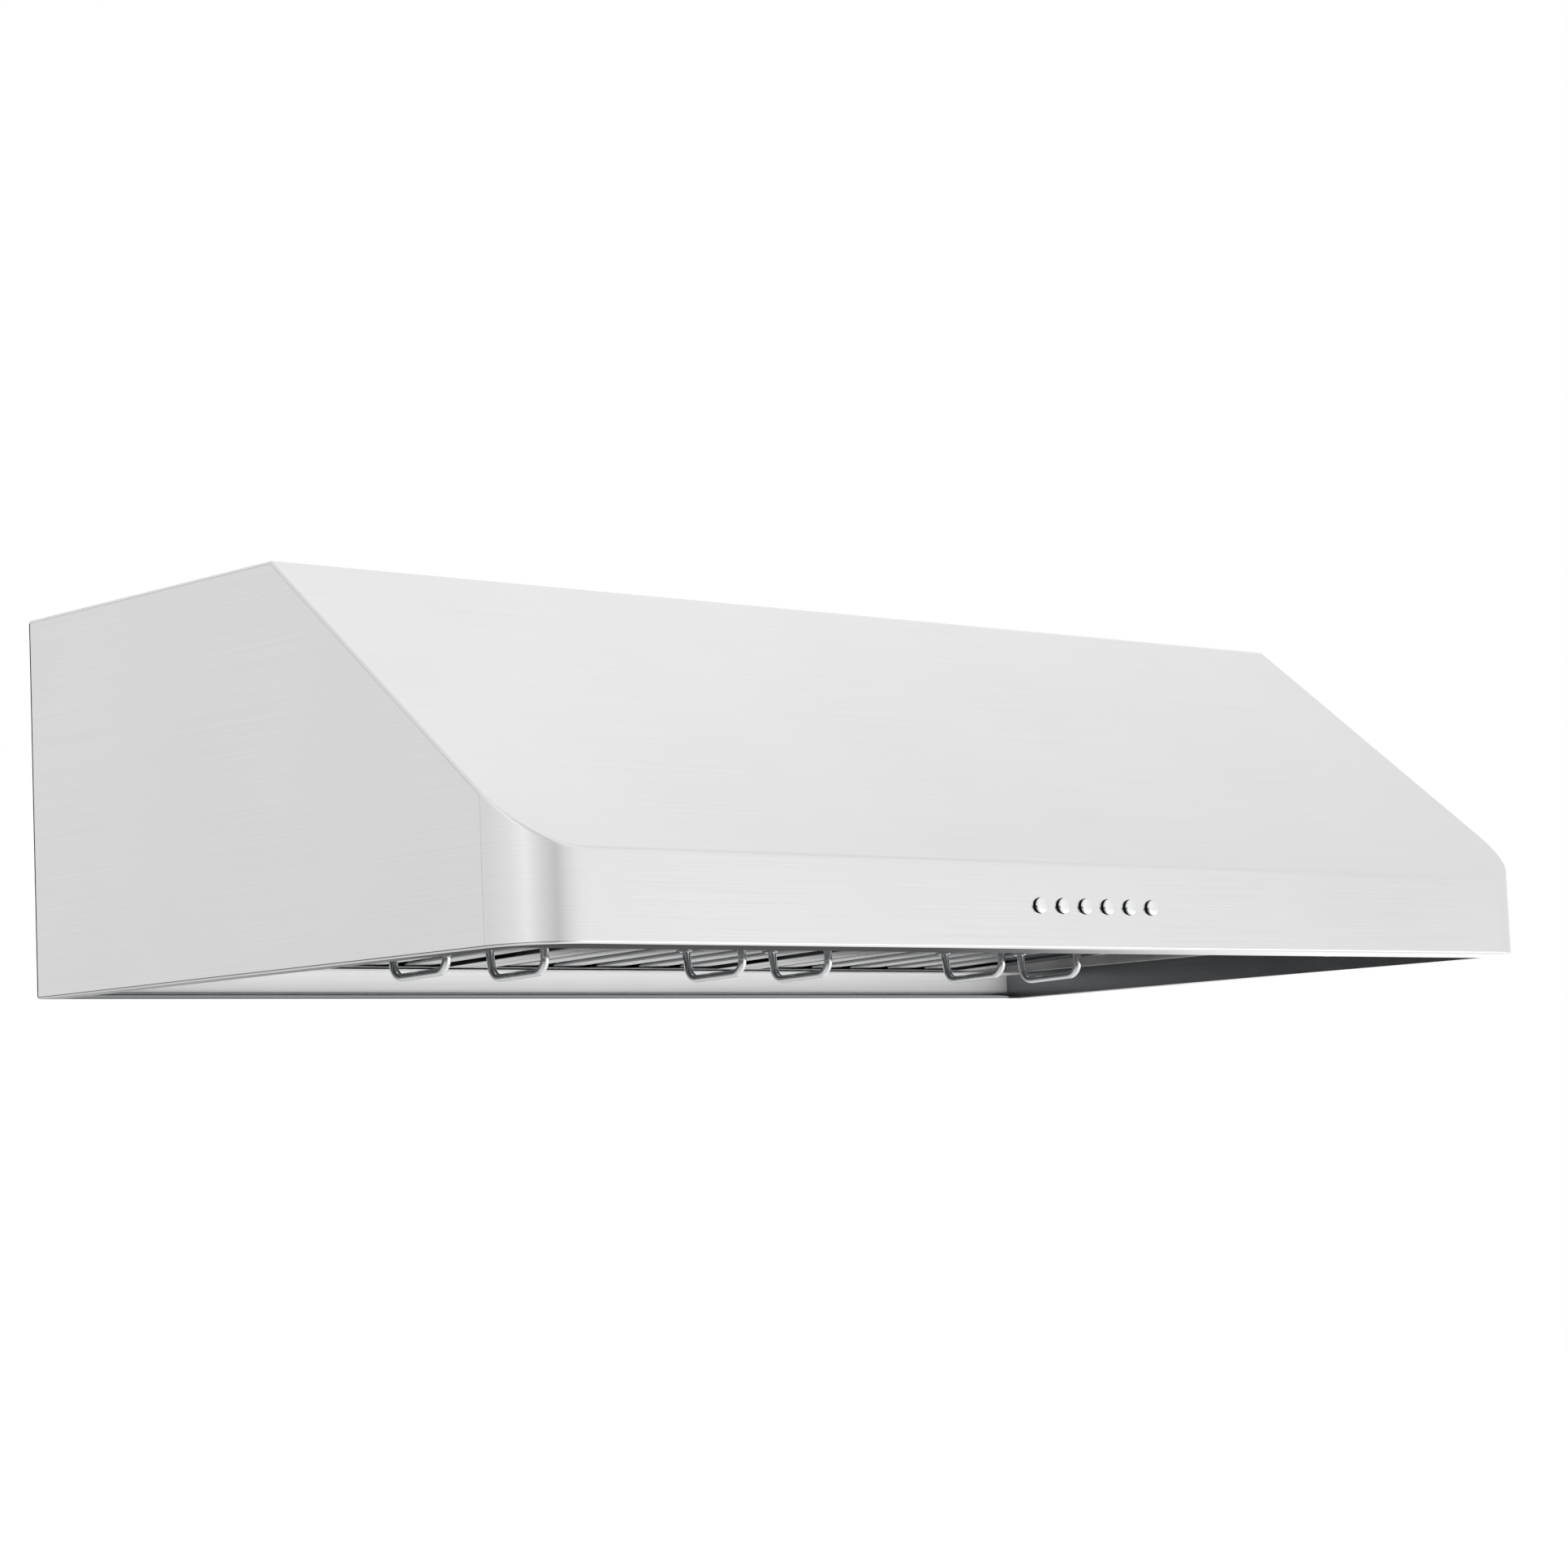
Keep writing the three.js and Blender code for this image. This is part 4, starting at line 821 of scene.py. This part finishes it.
def channel(bm, place, x, rim, floor, floor_down, front, rear, sizes):
    """One bent channel of a filter, drawn out along Y, without its thickness."""
    near, far = sizes.floor / 2, sizes.floor / 2 + sizes.flare
    line = [(x - far, rim), (x - near, floor), (x + near, floor), (x + far, rim)]
    verts = [bm.verts.new((px, front, pz)) for px, pz in line]
    for pair in zip(verts, verts[1:]):
        bm.edges.new(pair)
    known = set(bm.verts) - set(verts)
    bmesh.ops.bevel(
        bm, geom=verts[1:3], offset=sizes.bend, offset_type="OFFSET", segments=3,
        affect="VERTICES", profile=0.5, material=-1,
    )
    edges = [e for e in bm.edges if e.verts[0] not in known and not e.link_faces]
    made = bmesh.ops.extrude_edge_only(bm, edges=edges)["geom"]
    moved = [v for v in made if isinstance(v, bmesh.types.BMVert)]
    bmesh.ops.translate(bm, verts=moved, vec=(0, rear - front, 0))
    fresh = [v for v in bm.verts if v not in known]
    bmesh.ops.transform(bm, matrix=place, verts=fresh)
    faces = [f for f in bm.faces if f.verts[0] not in known]
    down = -1 if floor_down else 1
    for f in faces:
        f.normal_update()
        if f.normal.z * down < 0:
            f.normal_flip()


def baffles(name, place, count, pitch, base, height, floor_down, front, rear, strip, sizes):
    """A layer of channels, thickened, with the strips that join their ends."""
    bm = bmesh.new()
    floor, rim = (base, base + height) if floor_down else (base + height, base)
    xs = [(i - (count - 1) / 2) * pitch for i in range(count)]
    for x in xs:
        channel(bm, place, x, rim, floor, floor_down, front, rear, sizes)
    piece = finish_mesh(bm, name)
    thicken(piece, sizes.sheet)
    bm = bmesh.new()
    bm.from_mesh(piece.data)
    reach = xs[-1] + sizes.floor / 2
    for y in (front, rear - sizes.sheet):
        block(bm, (-reach, y, strip[0]), (reach, y + sizes.sheet, strip[1]), place)
    bm.to_mesh(piece.data)
    bm.free()
    piece.data.shade_smooth()
    piece.data.set_sharp_from_angle(angle=SHARP)
    return piece


# A handle's foot: length, half width, thickness and its rise above the rod's ends
FOOT = 12 * MM
FOOT_HALF_WIDTH = 3.4 * MM
FOOT_THICKNESS = 0.9 * MM
FOOT_ROOT = 0.5 * MM
# [radius, height] profile of the rivet heads under a foot
RIVET = [
    (0, -0.9 * MM), (0.9 * MM, -0.75 * MM), (1.4 * MM, -0.2 * MM), (1.4 * MM, 0.6 * MM), (0, 0.6 * MM),
]
RIVET_SPREAD = 0.36
ROD_FLATNESS = 0.86
# The rear leg leans back by this much on its way up
LEG_LEAN = 3 * MM


def bail(name, place, node, sizes):
    """A bail handle: one rod drawn down, round two bends and up again, on two riveted feet."""
    local = [place.inverted() @ p for p in points(node)]
    x = (min(p.x for p in local) + max(p.x for p in local)) / 2
    bottom = min(p.z for p in local) + sizes.rod / 2
    top = max(p.z for p in local) - FOOT_ROOT
    legs = [p for p in local if p.z > top - 2 * MM]
    leg_front = min(p.y for p in legs) + FOOT / 2
    leg_rear = max(p.y for p in legs) - FOOT / 2
    line = [
        Vector((x, leg_front, top)), Vector((x, leg_front, bottom)),
        Vector((x, leg_rear - LEG_LEAN, bottom)), Vector((x, leg_rear, top)),
    ]
    bm = bmesh.new()
    path = sweep_path(line, sizes.rod_bend, 8)
    sweep(bm, path, sizes.rod / 2, sizes.rod / 2 * ROD_FLATNESS, 20)
    for y in (leg_front, leg_rear):
        block(
            bm, (x - FOOT_HALF_WIDTH, y - FOOT / 2, top - FOOT_THICKNESS),
            (x + FOOT_HALF_WIDTH, y + FOOT / 2, top + FOOT_ROOT),
        )
        for end in (-1, 1):
            spot = Vector((x, y + end * FOOT * RIVET_SPREAD, top - FOOT_THICKNESS))
            lathe(bm, RIVET, Matrix.Translation(spot), 16)
    bmesh.ops.transform(bm, matrix=place, verts=bm.verts)
    bmesh.ops.recalc_face_normals(bm, faces=bm.faces)
    return finish_mesh(bm, name, math.radians(40))


def sweep_path(line, bend, steps):
    """Points along straight runs joined by true arcs."""
    path = [line[0]]
    for before, corner, after in zip(line, line[1:], line[2:]):
        a = (before - corner).normalized()
        b = (after - corner).normalized()
        half = a.angle(b) / 2
        reach = bend / math.tan(half)
        centre = corner + (a + b).normalized() * (bend / math.sin(half))
        start = corner + a * reach - centre
        axis = start.cross(corner + b * reach - centre).normalized()
        turn = math.pi - 2 * half
        for i in range(steps + 1):
            path.append(centre + Matrix.Rotation(turn * i / steps, 3, axis) @ start)
    path.append(line[-1])
    return path


def sweep(bm, path, half_wide, half_thick, sides):
    """Draws an oval section along a path that lies in a plane of constant X."""
    rings = []
    for i, point in enumerate(path):
        ahead = path[min(i + 1, len(path) - 1)] - path[max(i - 1, 0)]
        tangent = ahead.normalized()
        wide = Vector((1, 0, 0))
        thick = tangent.cross(wide).normalized()
        ring = [
            bm.verts.new(point + wide * (half_wide * math.cos(t)) + thick * (half_thick * math.sin(t)))
            for t in (2 * math.pi * k / sides for k in range(sides))
        ]
        rings.append([bm.edges.new((ring[k], ring[(k + 1) % sides])) for k in range(sides)])
    for first, second in zip(rings, rings[1:]):
        bmesh.ops.bridge_loops(bm, edges=first + second)
    bmesh.ops.edgeloop_fill(bm, edges=rings[0])
    bmesh.ops.edgeloop_fill(bm, edges=rings[-1])


# The channels stop this far inside the frame's ends, and keep this gap to its floor and strips
FRAME_INSET = 1.1 * MM
LAYER_GAP = 0.3 * MM


class HOOD_OT_filters(bpy.types.Operator):
    """Makes the three baffle filters: frame, two layers of channels and two bail handles each"""

    bl_idname = "hood.filters"
    bl_label = "Baffle Filters"

    def execute(self, context):
        sizes = context.scene.hood_filters
        for number in (1, 2, 3):
            name = f"filter_{number}"
            pivot = Vector(joint(f"{name}_tip")["pos_m"])
            place = Matrix.Translation(pivot) @ Matrix.Rotation(-sizes.tilt, 4, "X")
            local = [place.inverted() @ p for p in points(f"{name}_frame")]
            front = min(p.y for p in local) + FRAME_INSET
            rear = max(p.y for p in local) - FRAME_INSET
            handles = [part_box(f"{name}_handle_{side}") for side in ("left", "right")]
            pitch = (handles[1][0].x - handles[0][0].x) / 2
            base = sizes.sheet + LAYER_GAP
            lower_strip = (base + LAYER_GAP, sizes.upper_base - LAYER_GAP)
            upper_strip = (
                base + sizes.lower_height + LAYER_GAP, sizes.upper_base + sizes.upper_height - LAYER_GAP,
            )
            rim = softened(f"{name}_frame", 0.25 * MM)
            lower = baffles(f"{name}_lower_channels", place, sizes.channels, pitch, base,
                            sizes.lower_height, True, front, rear, lower_strip, sizes)
            upper = baffles(f"{name}_upper_channels", place, sizes.channels + 1, pitch, sizes.upper_base,
                            sizes.upper_height, False, front, rear, upper_strip, sizes)
            for piece, part in ((rim, "frame"), (lower, "lower_baffles"), (upper, "upper_baffles")):
                # The frame and the channels take the strip colour, darkened as painted shade
                paint(piece, Finish.filter_steel)
                show(piece, name, "filter_steel", f"{name}_{part}")
            for side in ("left", "right"):
                node = f"{name}_handle_{side}"
                piece = bail(f"{name}_bail_{side}", place, node, sizes)
                paint(piece, Finish.rod)
                show(piece, name, "handle_steel", node)
        return {"FINISHED"}


# ------------------------------------------------------------ blower, outlet and electrics

# Rows of node, body, slot, finish and edge radius in millimetres
BLOWER_NODES = (
    ("scroll_band", "root", "galvanised", "zinc", 0.25),
    ("scroll_plate_left", "root", "galvanised", "zinc", 0.25),
    ("scroll_plate_right", "root", "galvanised", "zinc", 0.25),
    ("motor_body", "root", "motor_paint", "motor_black", 0.8),
    ("motor_bracket", "root", "galvanised", "zinc", 0.3),
    ("blower_hanger_left", "root", "galvanised", "zinc", 0.4),
    ("blower_hanger_right", "root", "galvanised", "zinc", 0.4),
    ("capacitor", "root", "cast_aluminium", "aluminium", 0.6),
    ("capacitor_strap", "root", "galvanised", "zinc", 0.3),
    ("hanger_screw_left_front", "root", "chrome", "plate", 0.3),
    ("hanger_screw_left_rear", "root", "chrome", "plate", 0.3),
    ("hanger_screw_right_front", "root", "chrome", "plate", 0.3),
    ("hanger_screw_right_rear", "root", "chrome", "plate", 0.3),
    ("impeller", "blower_wheel", "galvanised", "zinc", 0.25),
    ("motor_shaft", "blower_wheel", "handle_steel", "rod", 0.4),
)
OUTLET_NODES = (
    ("outlet_neck", "root", "galvanised", "zinc", 0.3),
    ("damper_axle", "root", "handle_steel", "rod", 0.4),
    ("damper_flap_front", "damper_front", "galvanised", "zinc", 0.3),
    ("damper_flap_rear", "damper_rear", "galvanised", "zinc", 0.3),
)
ELECTRIC_NODES = (
    ("junction_box", "root", "galvanised", "zinc", 0.3),
    ("junction_cover", "root", "galvanised", "zinc", 0.3),
    ("lamp_driver", "root", "grey_plastic", "grey", 0.8),
    ("switch_housing", "root", "black_plastic", "black", 0.6),
    ("control_board", "root", "board_green", "board", 0.3),
    ("wiring_harness", "root", "black_plastic", "black", 0.5),
)


def soften_nodes(rows):
    """Makes the rounded copies of a group of CAD nodes."""
    for node, body, slot, finish, radius in rows:
        piece = softened(node, radius * MM)
        paint(piece, getattr(Finish, finish))
        show(piece, body, slot, node)


class HOOD_OT_blower(bpy.types.Operator):
    """Makes the scroll, wheel, motor, capacitor and their brackets"""

    bl_idname = "hood.blower"
    bl_label = "Blower"

    def execute(self, context):
        soften_nodes(BLOWER_NODES)
        return {"FINISHED"}


class HOOD_OT_outlet(bpy.types.Operator):
    """Makes the outlet neck and the two damper flaps"""

    bl_idname = "hood.outlet"
    bl_label = "Duct Outlet"

    def execute(self, context):
        soften_nodes(OUTLET_NODES)
        return {"FINISHED"}


class HOOD_OT_electrics(bpy.types.Operator):
    """Makes the electrical box, the wiring, the switch housing and the boards"""

    bl_idname = "hood.electrics"
    bl_label = "Electrics"

    def execute(self, context):
        soften_nodes(ELECTRIC_NODES)
        return {"FINISHED"}


# ------------------------------------------------------------ stage

# Light of the studio by heading, in degrees clockwise from straight ahead (+Y): above the horizon.
# The stops were adjusted until each sheet had the brightness wanted of it from the main camera
ABOVE = (
    (-180, 0.84), (-165, 0.68), (-142, 0.86), (-118, 1.08), (-95, 0.95), (-70, 0.88), (-50, 0.83),
    (-39, 0.84), (-10, 0.9), (40, 0.95), (66, 1.02), (72, 0.94), (77, 0.87), (110, 0.9), (128, 0.9),
    (137, 1.01), (141, 0.97), (150, 0.97), (162, 0.95), (180, 0.84),
)
# and below it, where the counter and the wall behind the hood are darker
BELOW = (
    (-180, 0.5), (-165, 0.12), (-95, 0.12), (-52, 0.08), (-34, 0.08), (-24, 0.4), (10, 0.45), (33, 0.4),
    (36, 0.3), (38, 0.08), (46, 0.08), (50, 1.1), (90, 1.2), (120, 1.5), (132, 1.8), (150, 1.6),
    (165, 0.9), (180, 0.5),
)
# Share of the upper light by the height of the direction
HORIZON = ((-1.0, 0.9), (-0.5, 0.6), (-0.2, 0.0), (-0.02, 0.0), (0.015, 1.0), (1.0, 1.0))
BRIGHTEST = 2.0
# Soft boxes: name, place, aim, width and power in watts
LIGHTS = (
    ("overhead", (0.3, -0.6, 2.6), (0, -0.25, 0), 3.0, 160),
    ("front", (-1.2, -3.2, 1.2), (0, -0.3, 0), 2.4, 14),
)
FLOOR_REACH = 40


def grey_ramp(tree, value, stops, full=1.0):
    """A ramp of greys over stops given in their own unit, as a share of the full value."""
    start, end = stops[0][0], stops[-1][0]
    place = add(tree, "ShaderNodeMapRange", {"Value": value, "From Min": start, "From Max": end}).outputs[0]
    node = add(tree, "ShaderNodeValToRGB", {"Fac": place})
    elements = node.color_ramp.elements
    while len(elements) < len(stops):
        elements.new(0.5)
    for element, (at, grey) in zip(elements, stops):
        element.position = (at - start) / (end - start)
        element.color = (grey / full, grey / full, grey / full, 1)
    return node.outputs["Color"]


def studio_world(scene):
    """A bright studio all round, with softer and darker zones for the metal to mirror."""
    world = bpy.data.worlds.new("Studio")
    world.use_nodes = True
    tree = world.node_tree
    tree.nodes.clear()
    direction = add(tree, "ShaderNodeTexCoord").outputs["Generated"]
    parts = add(tree, "ShaderNodeSeparateXYZ", {"Vector": direction}).outputs
    turn = add(tree, "ShaderNodeMath", {0: parts["X"], 1: parts["Y"]}, operation="ARCTAN2").outputs[0]
    heading = add(tree, "ShaderNodeMath", {0: turn}, operation="DEGREES").outputs[0]
    light = add(tree, "ShaderNodeMix", {
        0: grey_ramp(tree, parts["Z"], HORIZON), 6: grey_ramp(tree, heading, BELOW, BRIGHTEST),
        7: grey_ramp(tree, heading, ABOVE, BRIGHTEST),
    }, data_type="RGBA")
    soft = add(tree, "ShaderNodeBackground", {"Color": light.outputs[2], "Strength": BRIGHTEST})
    plain = add(tree, "ShaderNodeBackground", {"Color": (1, 1, 1, 1), "Strength": 1.0})
    seen = add(tree, "ShaderNodeLightPath").outputs["Is Camera Ray"]
    chosen = add(tree, "ShaderNodeMixShader", {"Fac": seen, 1: soft.outputs[0], 2: plain.outputs[0]})
    add(tree, "ShaderNodeOutputWorld", {"Surface": chosen.outputs[0]})
    scene.world = world


def floor_material():
    """Matt white studio floor."""
    material, tree, shader = new_material("White_Studio_Floor")
    position = add(tree, "ShaderNodeTexCoord").outputs["Object"]
    cloud = add(tree, "ShaderNodeTexNoise", {"Vector": position, "Scale": 2.0})
    colour = ramp(tree, cloud.outputs["Fac"], linear("#fafafa"), linear("#ffffff"))
    tree.links.new(colour, shader.inputs["Base Color"])
    set_inputs(shader, Roughness=0.9, Emission_Color=(1, 1, 1, 1), Emission_Strength=0.5)
    return material


class HOOD_OT_stage(bpy.types.Operator):
    """Sets the pale floor, the soft studio light and the camera"""

    bl_idname = "hood.stage"
    bl_label = "Stage"

    def execute(self, context):
        sizes = context.scene.hood_stage
        scene = context.scene
        studio_world(scene)
        bm = bmesh.new()
        bmesh.ops.create_grid(bm, x_segments=1, y_segments=1, size=FLOOR_REACH)
        bmesh.ops.translate(bm, verts=bm.verts, vec=(0, 0, HOOD.rim - sizes.floor_drop))
        floor = finish_mesh(bm, "floor")
        floor.data.materials.append(floor_material())
        floor.visible_glossy = False
        for name, spot, aim, size, energy in LIGHTS:
            data = bpy.data.lights.new(name, "AREA")
            data.energy = energy
            data.size = size
            lamp = bpy.data.objects.new(name, data)
            lamp.location = spot
            lamp.rotation_euler = (Vector(aim) - Vector(spot)).to_track_quat("-Z", "Y").to_euler()
            lamp.visible_glossy = False
            scene.collection.objects.link(lamp)
        heading, pitch, roll = sizes.heading, sizes.pitch, sizes.roll
        level = math.cos(pitch)
        ahead = Vector((math.sin(heading) * level, math.cos(heading) * level, math.sin(pitch)))
        right = Vector((math.cos(heading), -math.sin(heading), 0))
        up = right.cross(ahead)
        turned_right = right * math.cos(roll) + up * math.sin(roll)
        turned_up = up * math.cos(roll) - right * math.sin(roll)
        data = bpy.data.cameras.new("camera")
        data.lens = sizes.lens
        data.sensor_width = 36
        data.clip_end = 100
        camera = bpy.data.objects.new("camera", data)
        turn = Matrix((turned_right, turned_up, -ahead)).transposed().to_4x4()
        camera.matrix_world = Matrix.Translation(sizes.camera) @ turn
        scene.collection.objects.link(camera)
        scene.camera = camera
        scene.view_settings.view_transform = "Standard"
        return {"FINISHED"}


# ------------------------------------------------------------ panel and registration

class HOOD_PT_sidebar(bpy.types.Panel):
    """Lists the hood's operators"""

    bl_label = "Range Hood"
    bl_space_type = "VIEW_3D"
    bl_region_type = "UI"
    bl_category = "Range Hood"

    def draw(self, context):
        for name in OPERATORS:
            self.layout.operator(f"hood.{name}")


OPERATORS = ("stage", "canopy", "lamps", "buttons", "filters", "blower", "outlet", "electrics")
GROUPS = {
    "hood_sheet": SheetSizes, "hood_buttons": ButtonSizes,
    "hood_filters": FilterSizes, "hood_stage": StageSizes,
}
CLASSES = (
    *GROUPS.values(), HOOD_OT_canopy, HOOD_OT_lamps, HOOD_OT_buttons, HOOD_OT_filters,
    HOOD_OT_blower, HOOD_OT_outlet, HOOD_OT_electrics, HOOD_OT_stage, HOOD_PT_sidebar,
)


def register():
    """Registers the classes and attaches the sizes to the scene."""
    for cls in CLASSES:
        bpy.utils.register_class(cls)
    for name, group in GROUPS.items():
        setattr(bpy.types.Scene, name, PointerProperty(type=group))


def unregister():
    """Takes the sizes and the classes away again."""
    for name in GROUPS:
        delattr(bpy.types.Scene, name)
    for cls in reversed(CLASSES):
        bpy.utils.unregister_class(cls)


def main():
    """Builds every piece."""
    register()
    for name in OPERATORS:
        getattr(bpy.ops.hood, name)()


if __name__ == "__main__":
    main()
